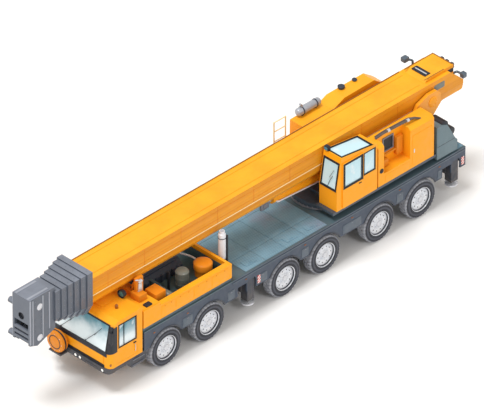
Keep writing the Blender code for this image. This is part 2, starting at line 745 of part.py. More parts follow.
def cab_interior_mesh():
    """Two seats and the dashboard on a common floor."""
    floor = CAB_BOTTOM + CAB_WALL + SEAT
    top = floor + SEAT_PAD / 2
    front = CAB_FRONT - CAB_WALL - CAB_CORNER / 2
    half = CAB_HALF_WIDTH - CAB_WALL - CAB_CORNER
    pieces = [box((SEAT_X, front), (-half, half), (floor, top))]
    pieces.append(prism([(front, floor), (front, DASH_TOP), (front - DASH_DEPTH, DASH_TOP - SEAT_PAD),
                         (front - DASH_DEPTH / 2, floor)], "y", -half, half))
    for _, side in SIDES:
        ys = (side * SEAT_OFFSET - SEAT_WIDTH / 2, side * SEAT_OFFSET + SEAT_WIDTH / 2)
        cushion = top + SEAT_HEIGHT
        pieces.append(prism([(SEAT_X, top - SEAT_PAD / 4), (SEAT_X, cushion), (SEAT_X - SEAT_PAD, cushion + SEAT_BACK),
                             (SEAT_X, cushion + SEAT_BACK), (SEAT_X + SEAT_PAD, cushion),
                             (SEAT_X + SEAT_DEPTH, cushion), (SEAT_X + SEAT_DEPTH, cushion - SEAT_PAD),
                             (SEAT_X + SEAT_DEPTH / 2, top - SEAT_PAD / 4)], "y", *ys))
    return joined(pieces)


def bumper_mesh():
    """The bumper under the cab, with the shelf that the hook block is parked on."""
    rear = NOSE_FRONT + SEAT
    pieces = [
        prism(rounded_outline(rear, BUMPER_FRONT, BUMPER_HALF_WIDTH, CAB_CORNER, 4), "z",
              BUMPER_BOTTOM, CAB_BOTTOM - SEAT),
    ]
    shelf = HOOK_Z - HOOK_RADIUS * cos(pi / ROUND)
    pieces.append(box((BUMPER_FRONT - OVER, BUMPER_FRONT + HOOK_THICKNESS + OVER),
                      (HOOK_Y - HOOK_THICKNESS, HOOK_Y + HOOK_THICKNESS), (shelf - OVER, shelf - SEAT)))
    return joined(pieces)


def hook_block_mesh():
    """The hook block's sheave case, its swivel and its hook, parked upright."""
    x = BUMPER_FRONT + OVER
    edge = x + HOOK_THICKNESS - OVER
    case = turned([(x, HOOK_RADIUS * HOOK_RIM_SHARE), (x + OVER, HOOK_RADIUS), (edge, HOOK_RADIUS),
                   (x + HOOK_THICKNESS, HOOK_RADIUS * HOOK_RIM_SHARE)], "x", (0, HOOK_Y, HOOK_Z), ROUND)
    return case


# Superstructure

def superstructure_mesh():
    """The slewing ring, the floor plate and the two cheeks that hold the boom's foot."""
    pieces = [
        turned([(DECK_TOP + SEAT, RING_RADIUS), (RING_TOP + OVER, RING_RADIUS)], "z", (SLEW_X, 0, 0), RING_SIDES),
        box((FLOOR_REAR, FLOOR_FRONT), (-PLATFORM_HALF_WIDTH, PLATFORM_HALF_WIDTH), (RING_TOP, FLOOR_TOP)),
    ]
    reach = CHEEK_REACH
    outline = [
        (CHEEK_FRONT, FLOOR_TOP - OVER), (CHEEK_FRONT, FLOOR_TOP + reach / 2),
        (FLOOR_REAR + 2 * reach, PIVOT_Z - 2 * reach), (FLOOR_REAR + reach / 2, PIVOT_Z + reach / 2),
        (PIVOT_X + reach / 2, PIVOT_Z + reach), (PIVOT_X - reach / 2, PIVOT_Z + reach),
        (PIVOT_X - reach, PIVOT_Z + reach / 2), (PIVOT_X - reach, PIVOT_Z - reach / 2),
        (PIVOT_X - reach / 2, PIVOT_Z - reach), (FLOOR_REAR, PIVOT_Z - 3 * reach), (FLOOR_REAR, FLOOR_TOP - OVER),
    ]
    cuts = [box((FLOOR_FRONT - NOTCH_DEPTH, FLOOR_FRONT + OVER), (-CHEEK_OUTER, OP_INNER - CAB_INSET),
                (RING_TOP, FLOOR_TOP + OVER))]
    for _, side in SIDES:
        ys = sorted((side * CHEEK_INNER, side * CHEEK_OUTER))
        pieces.append(prism(outline, "y", *ys))
        cuts.append(bore("y", (PIVOT_X, 0, PIVOT_Z), ys[0] - OVER, ys[1] + OVER, PIVOT_RADIUS, ROUND))
        lug = sorted((side * (FOOT_HALF_WIDTH + SEAT), side * (FOOT_HALF_WIDTH + FOOT_LUG)))
        pieces.append(prism([(FOOT_X - FOOT_EYE_RADIUS - reach / 2, FLOOR_TOP - OVER),
                             (FOOT_X + FOOT_EYE_RADIUS + reach / 2, FLOOR_TOP - OVER),
                             (FOOT_X + FOOT_EYE_RADIUS, FOOT_Z + FOOT_EYE_RADIUS),
                             (FOOT_X - FOOT_EYE_RADIUS, FOOT_Z + FOOT_EYE_RADIUS)], "y", *lug))
    foot_half = FOOT_HALF_WIDTH + FOOT_LUG / 2
    pieces.append(turned([(-foot_half, FOOT_PIN_RADIUS), (foot_half, FOOT_PIN_RADIUS)], "y",
                         (FOOT_X, 0, FOOT_Z), SMALL_ROUND))
    return joined(pieces, cuts)


def winch_mesh():
    """The hoist drum between its flanges, lying across the floor between the cheeks."""
    half = WINCH_HALF_WIDTH
    thick = WINCH_FLANGE_THICKNESS
    drum = turned([(-half, WINCH_FLANGE), (thick - half, WINCH_FLANGE), (thick - half, WINCH_RADIUS),
                   (half - thick, WINCH_RADIUS), (half - thick, WINCH_FLANGE), (half, WINCH_FLANGE)],
                  "y", (WINCH_X, 0, WINCH_Z), ROUND)
    pieces = [drum]
    for _, side in SIDES:
        ys = sorted((side * (half - thick / 2), side * (half + thick)))
        pieces.append(box((WINCH_X - WINCH_RADIUS, WINCH_X + WINCH_RADIUS), ys, (FLOOR_TOP + SEAT, WINCH_Z)))
    return joined(pieces)


def sloped_house(outline, side, top):
    """A side outline pushed out from the boom to the platform's edge, with its outer top edge sloped off."""
    ys = sorted((side * HOUSE_INNER, side * HOUSE_OUTER))
    reach = HOUSE_OUTER + OVER
    slope = [
        (side * reach, top - HOUSE_SLOPE - OVER), (side * reach, top + OVER),
        (side * (HOUSE_OUTER - HOUSE_SLOPE - OVER), top + OVER),
    ]
    xs = [x for x, _ in outline]
    return joined([prism(outline, "y", *ys)], [prism(slope, "x", min(xs) - OVER, max(xs) + OVER)])


def left_house_mesh():
    """The machinery house behind the operator's cab, with a recess and a step at its front."""
    base = FLOOR_TOP + SEAT
    outline = [(LEFT_HOUSE_REAR, base), (LEFT_HOUSE_FRONT, base), (LEFT_HOUSE_FRONT, LEFT_HOUSE_TOP),
               (LEFT_HOUSE_REAR, LEFT_HOUSE_TOP)]
    recess = box((RECESS_REAR, RECESS_FRONT), (HOUSE_OUTER - RECESS_DEPTH, HOUSE_OUTER + OVER),
                 (RECESS_FLOOR, LEFT_HOUSE_TOP + OVER))
    return joined([sloped_house(outline, 1, LEFT_HOUSE_TOP)], [recess])


def engine_house_mesh():
    """The engine house on the right, with a raised hood over the engine."""
    base = FLOOR_TOP + SEAT
    outline = [(RIGHT_HOUSE_REAR, base), (RIGHT_HOUSE_TOPS[0][0], base), *RIGHT_HOUSE_TOPS]
    return sloped_house(outline, -1, max(z for _, z in RIGHT_HOUSE_TOPS))


def counterweight_mesh():
    """The slab across the tail, with a stack on each side of the boom's foot that slopes down to the rear."""
    front = FLOOR_REAR - SEAT
    half = WEIGHT_HALF_WIDTH
    corner = WEIGHT_CORNER
    top = WEIGHT_BACK[0][1]
    rear = WEIGHT_BACK[-1][0]
    plan = [
        (front, -half), (rear + corner, -half), (rear, corner - half), (rear, half - corner),
        (rear + corner, half), (front, half),
    ]
    side = [(front, WEIGHT_BOTTOM), (front, top), *WEIGHT_BACK, (rear, WEIGHT_BOTTOM)]
    gap = box((rear - OVER, front + OVER), (-HOUSE_INNER, HOUSE_INNER), (WEIGHT_SLAB_TOP, top + OVER))
    body = joined([prism(side, "y", -half, half)], [gap], [prism(plan, "z", 0, top + OVER)])
    pieces = [body]
    for x, z in DRUMS:
        for _, side in SIDES:
            ends = sorted((side * DRUM_INNER, side * DRUM_OUTER))
            pieces.append(turned([(end, DRUM_RADIUS) for end in ends], "y", (x, 0, z), ROUND))
    return joined(pieces)


# Operator's cab

def op_profile(inset=0):
    return [
        (OP_REAR + inset, FLOOR_TOP + SEAT + inset), (OP_REAR + inset, OP_REAR_TOP - inset),
        (OP_BROW - inset / 2, OP_TOP - inset), (OP_FRONT - inset, OP_WAIST),
        (OP_FRONT - inset, FLOOR_TOP + SEAT + inset),
    ]


def op_cab_mesh():
    """The operator's cab: a hollow shell with its front, roof, side and door openings cut."""
    shell = prism(op_profile(), "y", OP_INNER, OP_OUTER)
    cuts = [prism(op_profile(OP_WALL), "y", OP_INNER + OP_WALL, OP_OUTER - OP_WALL)]
    across = (OP_INNER + OP_POST, OP_OUTER - OP_POST)
    cuts.append(box((OP_BROW - OP_WALL, OP_FRONT + OVER), across, (OP_WAIST, OP_REAR_TOP)))
    cuts.append(box((OP_ROOF_REAR, OP_BROW - OP_POST), across, (OP_REAR_TOP - OVER, OP_TOP + OVER)))
    side = (OP_OUTER - OP_WALL - OVER, OP_OUTER + OVER)
    frame = OP_POST / 2
    heights = (FLOOR_TOP + OP_POST, OP_REAR_TOP - frame)
    cuts.append(box((OP_DOOR_REAR + frame, OP_DOOR_FRONT - frame), side, heights))
    cuts.append(box((OP_REAR + OP_POST, OP_DOOR_REAR - frame), side, (OP_WAIST, OP_REAR_TOP - OP_POST)))
    return joined([shell], cuts)


def op_door_mesh():
    ys = (OP_OUTER + SEAT, OP_OUTER + OP_DOOR_THICKNESS)
    body = box((OP_DOOR_REAR, OP_DOOR_FRONT), ys, (FLOOR_TOP + OP_POST / 2, OP_REAR_TOP))
    window = box((OP_DOOR_REAR + OP_POST, OP_DOOR_FRONT - OP_POST), (OP_OUTER - OVER, OP_OUTER + OVER),
                 (OP_WAIST, OP_REAR_TOP - OP_POST))
    return joined([body], [window])


def op_seat_mesh():
    base = FLOOR_TOP + 2 * SEAT + OP_WALL
    middle = (OP_INNER + OP_OUTER) / 2
    cushion = base + SEAT_HEIGHT
    half = (OP_OUTER - OP_INNER - 2 * OP_WALL) * OP_SEAT_SHARE / 2
    ys = (middle - half, middle + half)
    x = OP_SEAT_X
    outline = [
        (x, base), (x, cushion), (x - SEAT_PAD, cushion + SEAT_BACK), (x, cushion + SEAT_BACK),
        (x + SEAT_PAD, cushion), (x + SEAT_DEPTH, cushion), (x + SEAT_DEPTH, cushion - SEAT_PAD),
        (x + SEAT_DEPTH / 2, base),
    ]
    return prism(outline, "y", *ys)


# Boom

def boom_outline(step, inset=0):
    """A section's cross-section: flat top, straight sides and a rounded belly."""
    shrink = step * BOOM_STEP + inset
    half = BOOM_HALF_WIDTH - shrink
    depth = BOOM_BELLY - BOOM_FLOOR - shrink
    points = [(half, BOOM_TOP - shrink)]
    for turn in range(BELLY_STEPS + 1):
        angle = pi * turn / BELLY_STEPS
        points.append((half * cos(angle), BOOM_BELLY - depth * sin(angle)))
    points.append((-half, BOOM_TOP - shrink))
    return points


def collar_outline(step):
    half = COLLAR_HALF_WIDTH - step * COLLAR_STEP
    top = COLLAR_TOP - step * COLLAR_TOP_STEP
    bottom = BOOM_FLOOR + step * BOOM_STEP - COLLAR_DROP
    foot = half * COLLAR_BOTTOM_SHARE
    right = [(half, top), (half, COLLAR_SHOULDER), (foot, bottom)]
    return right + [(-y, z) for y, z in reversed(right)]


def section_tail(step):
    return TAIL_FRONT + step * TAIL_STEP


def section_mesh(step):
    """A telescoping section: a tube with a collar round its front end and slide pads round its tail."""
    tail = section_tail(step)
    collar = COLLAR_START + step * COLLAR_PITCH
    front = collar + COLLAR_PITCH - COLLAR_GAP
    pad = BOOM_WALL - BOOM_STEP + SEAT
    pieces = [
        prism(boom_outline(step), "x", tail, front),
        prism(collar_outline(step), "x", collar, front),
        prism(boom_outline(step, pad), "x", tail, tail + SHOE_LENGTH),
    ]
    if step == SECTIONS:
        hollow = prism(boom_outline(step, BOOM_WALL), "x", tail - OVER, front - OVER)
        return joined(pieces + head_pieces(front), [hollow])
    return joined(pieces, [prism(boom_outline(step, BOOM_WALL), "x", tail - OVER, front + OVER)])


def boom_collar_mesh():
    """The grey collar round the base section's front end."""
    front = COLLAR_START + COLLAR_PITCH - COLLAR_GAP
    return joined([prism(collar_outline(0), "x", COLLAR_START, front)],
                  [prism(boom_outline(0, -SEAT), "x", COLLAR_START - OVER, front + OVER)])


def boom_base_mesh():
    """The base section: the outer tube, its sloping tail and hood, its pivot pins and the cylinder's bracket."""
    front = COLLAR_START + COLLAR_PITCH - COLLAR_GAP
    half = BOOM_HALF_WIDTH
    across = (-half - OVER, half + OVER)
    slope = prism([(BOOM_TAIL - OVER, TAIL_END_TOP), (BOOM_TAIL, TAIL_END_TOP), (TAIL_CREST_X, BOOM_TOP),
                   (TAIL_CREST_X, BOOM_TOP + OVER), (BOOM_TAIL - OVER, BOOM_TOP + OVER)], "y", *across)
    pieces = [
        joined([prism(boom_outline(0), "x", BOOM_TAIL, front)], [slope]),
        prism([(HOOD_REAR, TAIL_END_TOP), (HOOD_FRONT, BOOM_TOP - OVER), (HOOD_FRONT - TAIL_SLOPE, HOOD_TOP),
               (HOOD_REAR, HOOD_TOP)], "y", -HOOD_HALF_WIDTH, HOOD_HALF_WIDTH),
    ]
    for _, side in SIDES:
        ends = sorted((side * (half - BOOM_WALL / 2), side * CHEEK_OUTER))
        pieces.append(turned([(end, PIVOT_RADIUS) for end in ends], "y", (PIVOT_X, 0, PIVOT_Z), ROUND))
        plate = sorted((side * FOOT_HALF_WIDTH, side * (FOOT_HALF_WIDTH + BRACKET_PLATE)))
        pieces.append(box((ROD_EYE_X - BRACKET_HALF_LENGTH, ROD_EYE_X + BRACKET_HALF_LENGTH), plate,
                          (ROD_EYE_Z - ROD_EYE_RADIUS, BOOM_FLOOR + 2 * OVER)))
    below = BOOM_FLOOR - OVER
    hollow = prism(boom_outline(0, BOOM_WALL), "x", TAIL_FRONT, front + OVER)
    belly = prism([(BOOM_TAIL - OVER, below), (TAIL_FRONT - TAIL_WALL + TAIL_SLOPE / 2, below),
                   (TAIL_FRONT - TAIL_WALL, BOOM_FLOOR), (TAIL_FRONT - TAIL_WALL - TAIL_SLOPE, TAIL_FLOOR),
                   (BOOM_TAIL - OVER, TAIL_FLOOR)], "y", *across)
    pocket = box((BOOM_TAIL - OVER, TAIL_FRONT - TAIL_WALL - TAIL_SLOPE), (TAIL_WALL - half, half - TAIL_WALL),
                 (TAIL_FLOOR + TAIL_WALL, TAIL_END_TOP - TAIL_WALL))
    return joined(pieces, [hollow, belly, pocket])


def head_pieces(start):
    """The boom head: two side plates, the bars and brow between them, and the sheaves on their shafts."""
    back = start - OVER
    depth = BOOM_NOSE - back
    inner = HEAD_HALF_WIDTH - HEAD_PLATE
    chin = BOOM_NOSE - depth * HEAD_CHIN_SHARE
    side_outline = [
        (back, HEAD_BACK_BOTTOM), (chin, HEAD_BOTTOM), (BOOM_NOSE, HEAD_NOSE_BOTTOM), (BOOM_NOSE, HEAD_TOP),
        (back, HEAD_TOP),
    ]
    across = (-HEAD_HALF_WIDTH, HEAD_HALF_WIDTH)
    face = (BOOM_NOSE - HEAD_PLATE, BOOM_NOSE)
    hole = turned([(face[0] - OVER, HEAD_BROW_HOLE), (face[1] + OVER, HEAD_BROW_HOLE)], "x",
                  (0, 0, HEAD_BROW_HOLE_Z), ROUND)
    pieces = [
        box((back, start + OVER), across, (HEAD_BACK_BOTTOM, HEAD_TOP)),
        box((back, BOOM_NOSE), across, (HEAD_TOP - HEAD_PLATE, HEAD_TOP)),
        joined([box(face, across, (HEAD_TOP - HEAD_BROW, HEAD_TOP))], [hole]),
    ]
    for z in HEAD_BARS:
        pieces.append(box((BOOM_NOSE - HEAD_BAR, BOOM_NOSE), across, (z, z + HEAD_BAR)))
    for _, side in SIDES:
        pieces.append(prism(side_outline, "y", *sorted((side * HEAD_HALF_WIDTH, side * inner))))
    for z in EARS:
        pieces.append(turned([(-EAR_REACH, EAR_RADIUS), (-inner, EAR_RADIUS)], "y",
                             (BOOM_NOSE - 2 * EAR_RADIUS, 0, z), SMALL_ROUND))
    middle = (back + BOOM_NOSE) / 2 + OVER
    for z in (HEAD_BOTTOM + SHEAVE_RADIUS, HEAD_SHEAVE_TOP):
        pieces.append(rod((middle, -HEAD_HALF_WIDTH, z), (middle, HEAD_HALF_WIDTH, z), HEAD_SHAFT_RADIUS))
        for count in range(SHEAVES):
            y = inner * (2 * count + 1 - SHEAVES) / SHEAVES
            rims = [(y + end * SHEAVE_THICKNESS / 2, SHEAVE_RADIUS) for end in (-1, 1)]
            pieces.append(turned(rims, "y", (middle, 0, z), ROUND))
    return pieces


# Luffing cylinder

def cylinder_direction():
    length = hypot(ROD_EYE_X - FOOT_X, ROD_EYE_Z - FOOT_Z)
    return Vector(((ROD_EYE_X - FOOT_X) / length, 0, (ROD_EYE_Z - FOOT_Z) / length))


def tilted(mesh):
    """Moves a piece built along +X from the origin onto the cylinder's line."""
    along = cylinder_direction()
    turn = Matrix.Rotation(-atan2(along.z, along.x), 4, "Y")
    mesh.transform(Matrix.Translation((FOOT_X, 0, FOOT_Z)) @ turn)
    return mesh


def barrel_mesh():
    """The barrel with its foot eye, bored for the rod."""
    tube = turned([(0, NECK_RADIUS), (BARREL_NECK, NECK_RADIUS), (BARREL_NECK + GLAND, BARREL_RADIUS),
                   (BARREL_LENGTH, BARREL_RADIUS)], "x", (0, 0, 0), ROUND)
    eye = turned([(end, FOOT_EYE_RADIUS) for end in (-FOOT_HALF_WIDTH, FOOT_HALF_WIDTH)], "y", (0, 0, 0), ROUND)
    reach = FOOT_HALF_WIDTH + OVER
    pin_hole = bore("y", (0, 0, 0), -reach, reach, FOOT_PIN_RADIUS, SMALL_ROUND)
    inside = BARREL_RADIUS - BARREL_WALL
    gland = ROD_RADIUS + SEAT
    start = BARREL_LENGTH - ROD_INSIDE
    chamber = turned([(start, inside), (BARREL_LENGTH - GLAND, inside)], "x", (0, 0, 0), ROUND)
    mouth = turned([(start, gland), (BARREL_LENGTH + OVER, gland)], "x", (0, 0, 0), SMALL_ROUND)
    return tilted(joined([tube, eye], [chamber, mouth, pin_hole]))


def piston_rod_mesh():
    """The piston, its rod and the eye at the boom's bracket."""
    reach = hypot(ROD_EYE_X - FOOT_X, ROD_EYE_Z - FOOT_Z)
    start = BARREL_LENGTH - ROD_INSIDE + OVER
    piston_radius = BARREL_RADIUS - BARREL_WALL - SEAT
    piston = turned([(start, piston_radius), (start + GLAND, piston_radius)],
                    "x", (0, 0, 0), ROUND)
    bar = turned([(start, ROD_RADIUS), (reach, ROD_RADIUS)], "x", (0, 0, 0), SMALL_ROUND)
    half = FOOT_HALF_WIDTH - SWING
    eye = turned([(-half, ROD_EYE_RADIUS), (half, ROD_EYE_RADIUS)], "y", (reach, 0, 0), ROUND)
    return tilted(joined([piston, bar, eye]))


# Assembly

def build_wheels(carrier):
    for number, x, steers in AXLES:
        for name, side in SIDES:
            holder = carrier
            if steers:
                axis_y = side * (HALF_WIDTH - KINGPIN_INSET)
                holder = group(f"steering_{number}_{name}", (x, axis_y, TYRE_RADIUS), carrier)
                node(f"knuckle_{number}_{name}", knuckle_mesh(x, side), "dark_paint", holder)
            spin = group(f"spin_{number}_{name}", (x, side * (HALF_WIDTH - TYRE_WIDTH / 2), TYRE_RADIUS), holder)
            node(f"wheel_{number}_{name}", wheel_mesh(x, side), "tyre_rubber", spin)


def build_outriggers(carrier):
    for end, rear, front in OUTRIGGERS:
        for lane, (name, side) in enumerate(SIDES):
            beam = group(f"outrigger_{end}_{name}", ((rear + front) / 2, 0, BOX_TOP), carrier)
            node(f"outrigger_beam_{end}_{name}", beam_mesh(rear, front, lane, side), "dark_paint", beam)
            low, high = beam_lane(rear, front, lane)
            foot = ((low + high) / 2, side * (HALF_WIDTH - JACK_INSET), PAD_HEIGHT)
            jack = group(f"jack_{end}_{name}", foot, beam)
            node(f"outrigger_jack_{end}_{name}", jack_mesh(rear, front, lane, side), "bright_steel", jack)


def build_carrier(carrier):
    node("carrier_frame", carrier_mesh(), "slate_paint", carrier)
    node("drive_axles", axles_mesh(), "dark_paint", carrier)
    node("front_deck", front_deck_mesh(), "yellow_paint", carrier)
    node("carrier_engine", engine_mesh(), "dark_paint", carrier)
    node("air_filter", filter_mesh(), "slate_paint", carrier)
    node("exhaust_stack", stack_mesh(), "bright_steel", carrier)
    node("boom_rest", boom_rest_mesh(), "yellow_paint", carrier)
    node("driver_cab_shell", cab_mesh(), "yellow_paint", carrier)
    node("driver_windscreen", windscreen_mesh(), "tinted_glass", carrier)
    node("driver_cab_interior", cab_interior_mesh(), "seat_fabric", carrier)
    node("front_bumper", bumper_mesh(), "dark_paint", carrier)
    node("hook_block", hook_block_mesh(), "yellow_paint", carrier)
    for name, side in SIDES:
        hinge = group(f"door_hinge_{name}", (DOOR_FRONT, side * CAB_HALF_WIDTH, DOOR_BOTTOM), carrier)
        node(f"driver_door_{name}", door_mesh(side), "yellow_paint", hinge)


def build_superstructure(slew):
    node("superstructure_frame", superstructure_mesh(), "yellow_paint", slew)
    node("hoist_winch", winch_mesh(), "dark_paint", slew)
    node("left_house", left_house_mesh(), "yellow_paint", slew)
    node("engine_house", engine_house_mesh(), "yellow_paint", slew)
    node("counterweight", counterweight_mesh(), "slate_paint", slew)
    node("operator_cab_shell", op_cab_mesh(), "yellow_paint", slew)
    node("operator_seat", op_seat_mesh(), "seat_fabric", slew)
    rail = group("operator_door_rail", (OP_DOOR_REAR, OP_OUTER, FLOOR_TOP), slew)
    node("operator_door", op_door_mesh(), "yellow_paint", rail)


def build_boom(slew):
    pivot = group("boom_pivot", (PIVOT_X, 0, PIVOT_Z), slew)
    node("boom_base", boom_base_mesh(), "yellow_paint", pivot)
    node("boom_collar", boom_collar_mesh(), "boom_grey", pivot)
    holder = pivot
    for step in range(1, SECTIONS + 1):
        holder = group(f"boom_slide_{step}", (section_tail(step), 0, BOOM_BELLY), holder)
        node(f"boom_section_{step}", section_mesh(step), "boom_grey", holder)
    foot = group("luffing_foot", (FOOT_X, 0, FOOT_Z), slew)
    node("luffing_barrel", barrel_mesh(), "boom_grey", foot)
    reach = group("luffing_reach", (FOOT_X, 0, FOOT_Z), foot)
    node("luffing_rod", piston_rod_mesh(), "bright_steel", reach)


def main():
    for old in list(bpy.data.objects):
        bpy.data.objects.remove(old)
    carrier = group("carrier")
    slew = group("superstructure", (SLEW_X, 0, DECK_TOP), carrier)
    build_wheels(carrier)
    build_outriggers(carrier)
    build_carrier(carrier)
    build_superstructure(slew)
    build_boom(slew)


main()
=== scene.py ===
from math import cos, pi, radians, sin

import bmesh
import bpy
from mathutils import Matrix, Vector


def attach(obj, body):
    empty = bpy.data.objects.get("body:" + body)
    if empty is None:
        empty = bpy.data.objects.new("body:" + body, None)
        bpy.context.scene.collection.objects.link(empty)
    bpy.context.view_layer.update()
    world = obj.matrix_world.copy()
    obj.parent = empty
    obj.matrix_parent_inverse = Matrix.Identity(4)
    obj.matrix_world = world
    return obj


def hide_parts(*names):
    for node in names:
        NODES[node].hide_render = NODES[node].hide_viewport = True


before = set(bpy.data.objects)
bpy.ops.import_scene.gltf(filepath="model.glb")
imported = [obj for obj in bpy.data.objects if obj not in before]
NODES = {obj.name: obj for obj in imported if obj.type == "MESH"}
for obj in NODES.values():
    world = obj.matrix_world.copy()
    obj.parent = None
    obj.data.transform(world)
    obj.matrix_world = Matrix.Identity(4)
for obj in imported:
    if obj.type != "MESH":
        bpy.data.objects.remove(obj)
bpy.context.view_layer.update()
scene = bpy.context.scene
SIDES = (("left", 1), ("right", -1))
BOTH = (1, -1)          # the left and the right side, as signs of y
AXLES = ((1, 4.67), (2, 2.75), (3, -0.65), (4, -2.45), (5, -4.90), (6, -6.78))
STEERED = (1, 2, 5, 6)
WHEEL_Y = 1.305
WHEEL_Z = 0.68
LUGS = 32               # tread lugs round each shoulder of a tyre
SMOOTH_BELOW = 38       # degrees between faces up to which an edge is shaded smooth
WHEEL_SMOOTH_BELOW = 34

# Places that the CAD fixes, in metres
SLEW_X = -3.80
PIVOT_X, PIVOT_Z = -8.05, 3.50          # the boom's pivot
FOOT_Z, EYE_Z = 2.26, 2.64              # the luffing cylinder's foot and its rod's eye
COLLAR_START, COLLAR_PITCH, COLLAR_STEP = 7.13, 0.235, 0.048
COLLAR_HALF_WIDTH, COLLAR_TOP, COLLAR_TOP_STEP = 0.69, 4.44, 0.04
DRUM_AT = (3.22, 0.73, 0)
STACK_AT = (1.50, 0.79, 0)
MUFFLER_AT = (0, -1.33, 4.04)
ROOF_LAMP_AT = (5.72, 0.60, 2.88)

# Camera: the picture is a true isometric view, so a very long lens stands far off along (1, 1, 1)
TARGET = Vector((-0.6456, -0.4615, 2.5))
BACK = Vector((1, 1, 1)).normalized()
LENS = 1200
ACROSS = 15.368
camera_data = bpy.data.cameras.new("camera")
camera_data.lens = LENS
camera_data.sensor_width = 36
camera_data.clip_start = 1
camera_data.clip_end = 3000
camera = bpy.data.objects.new("camera", camera_data)
camera.location = TARGET + BACK * (ACROSS / 36 * LENS)
camera.rotation_euler = BACK.to_track_quat("Z", "Y").to_euler()
scene.collection.objects.link(camera)
scene.camera = camera


# Materials

STRIPE_PITCH = 0.11


def srgb(r, g, b):
    out = []
    for c in (r, g, b):
        c /= 255
        out.append(c / 12.92 if c <= 0.04045 else ((c + 0.055) / 1.055) ** 2.4)
    return tuple(out)


class Shader:
    """A Principled material whose colour, roughness and relief come from procedural textures in metres."""

    def __init__(self, name, rough=0.5, metal=0.0, coat=0.0, specular=0.5, alpha=1.0):
        self.mat = bpy.data.materials.new(name)
        self.mat.use_nodes = True
        self.tree = self.mat.node_tree
        self.bsdf = self.tree.nodes["Principled BSDF"]
        for key, value in (("Metallic", metal), ("Roughness", rough), ("Coat Weight", coat),
                           ("Specular IOR Level", specular), ("Alpha", alpha), ("IOR", 1.45)):
            self.bsdf.inputs[key].default_value = value
        self.coords = self.node("ShaderNodeTexCoord").outputs["Object"]
        self.rough = rough

    def node(self, kind, **settings):
        made = self.tree.nodes.new(kind)
        for key, value in settings.items():
            setattr(made, key, value)
        return made

    def link(self, a, b):
        self.tree.links.new(a, b)

    def scaled(self, scale):
        mapping = self.node("ShaderNodeMapping")
        mapping.inputs["Scale"].default_value = scale
        self.link(self.coords, mapping.inputs["Vector"])
        return mapping.outputs["Vector"]

    def noise(self, scale, detail=3.0, stretch=None):
        tex = self.node("ShaderNodeTexNoise")
        tex.inputs["Scale"].default_value = scale
        tex.inputs["Detail"].default_value = detail
        tex.inputs["Roughness"].default_value = 0.55
        self.link(self.scaled(stretch) if stretch else self.coords, tex.inputs["Vector"])
        return tex.outputs["Fac"]

    def ramp(self, value, low, high, to_low=0.0, to_high=1.0):
        made = self.node("ShaderNodeMapRange")
        made.interpolation_type = "SMOOTHSTEP"
        for key, number in (("From Min", low), ("From Max", high), ("To Min", to_low), ("To Max", to_high)):
            made.inputs[key].default_value = number
        self.link(value, made.inputs["Value"])
        return made.outputs["Result"]

    def maths(self, operation, a, b=None):
        made = self.node("ShaderNodeMath", operation=operation)
        for place, value in ((0, a), (1, b)):
            if value is None:
                continue
            if isinstance(value, (int, float)):
                made.inputs[place].default_value = value
            else:
                self.link(value, made.inputs[place])
        return made.outputs[0]

    def mix(self, factor, a, b):
        made = self.node("ShaderNodeMix", data_type="RGBA")
        self.link(factor, made.inputs["Factor"])
        for place, value in ((6, a), (7, b)):
            if isinstance(value, tuple):
                made.inputs[place].default_value = (*value, 1)
            else:
                self.link(value, made.inputs[place])
        return made.outputs[2]

    def mottle(self, scale, detail, low, high, most, a, b):
        """Two colours in soft patches; most is how far the second one comes through."""
        return self.mix(self.ramp(self.noise(scale, detail), low, high, 0.0, most), a, b)

    def wave(self, direction, scale, vector=None):
        tex = self.node("ShaderNodeTexWave", wave_type="BANDS", bands_direction=direction)
        tex.inputs["Scale"].default_value = scale
        self.link(self.coords if vector is None else vector, tex.inputs["Vector"])
        return tex.outputs["Fac"]

    def radius(self):
        """The distance from a wheel's axis."""
        squares = [self.maths("POWER", self.axis(name), 2.0) for name in ("X", "Z")]
        return self.maths("SQRT", self.maths("ADD", *squares))

    def relief(self, height, strength, distance):
        bump = self.node("ShaderNodeBump")
        bump.inputs["Strength"].default_value = strength
        bump.inputs["Distance"].default_value = distance
        self.link(height, bump.inputs["Height"])
        self.link(bump.outputs["Normal"], self.bsdf.inputs["Normal"])

    def colour(self, value):
        self.link(value, self.bsdf.inputs["Base Color"])

    def axis(self, name, source="Object"):
        split = self.node("ShaderNodeSeparateXYZ")
        self.link(self.coords.node.outputs[source], split.inputs[0])
        return split.outputs[name]

    def uneven(self, amount, scale):
        self.link(self.ramp(self.noise(scale), 0.3, 0.7, max(0.02, self.rough - amount), min(1, self.rough + amount)),
                  self.bsdf.inputs["Roughness"])


def shade(colour, factor):
    return tuple(max(0.0, min(1.0, c * factor)) for c in colour)


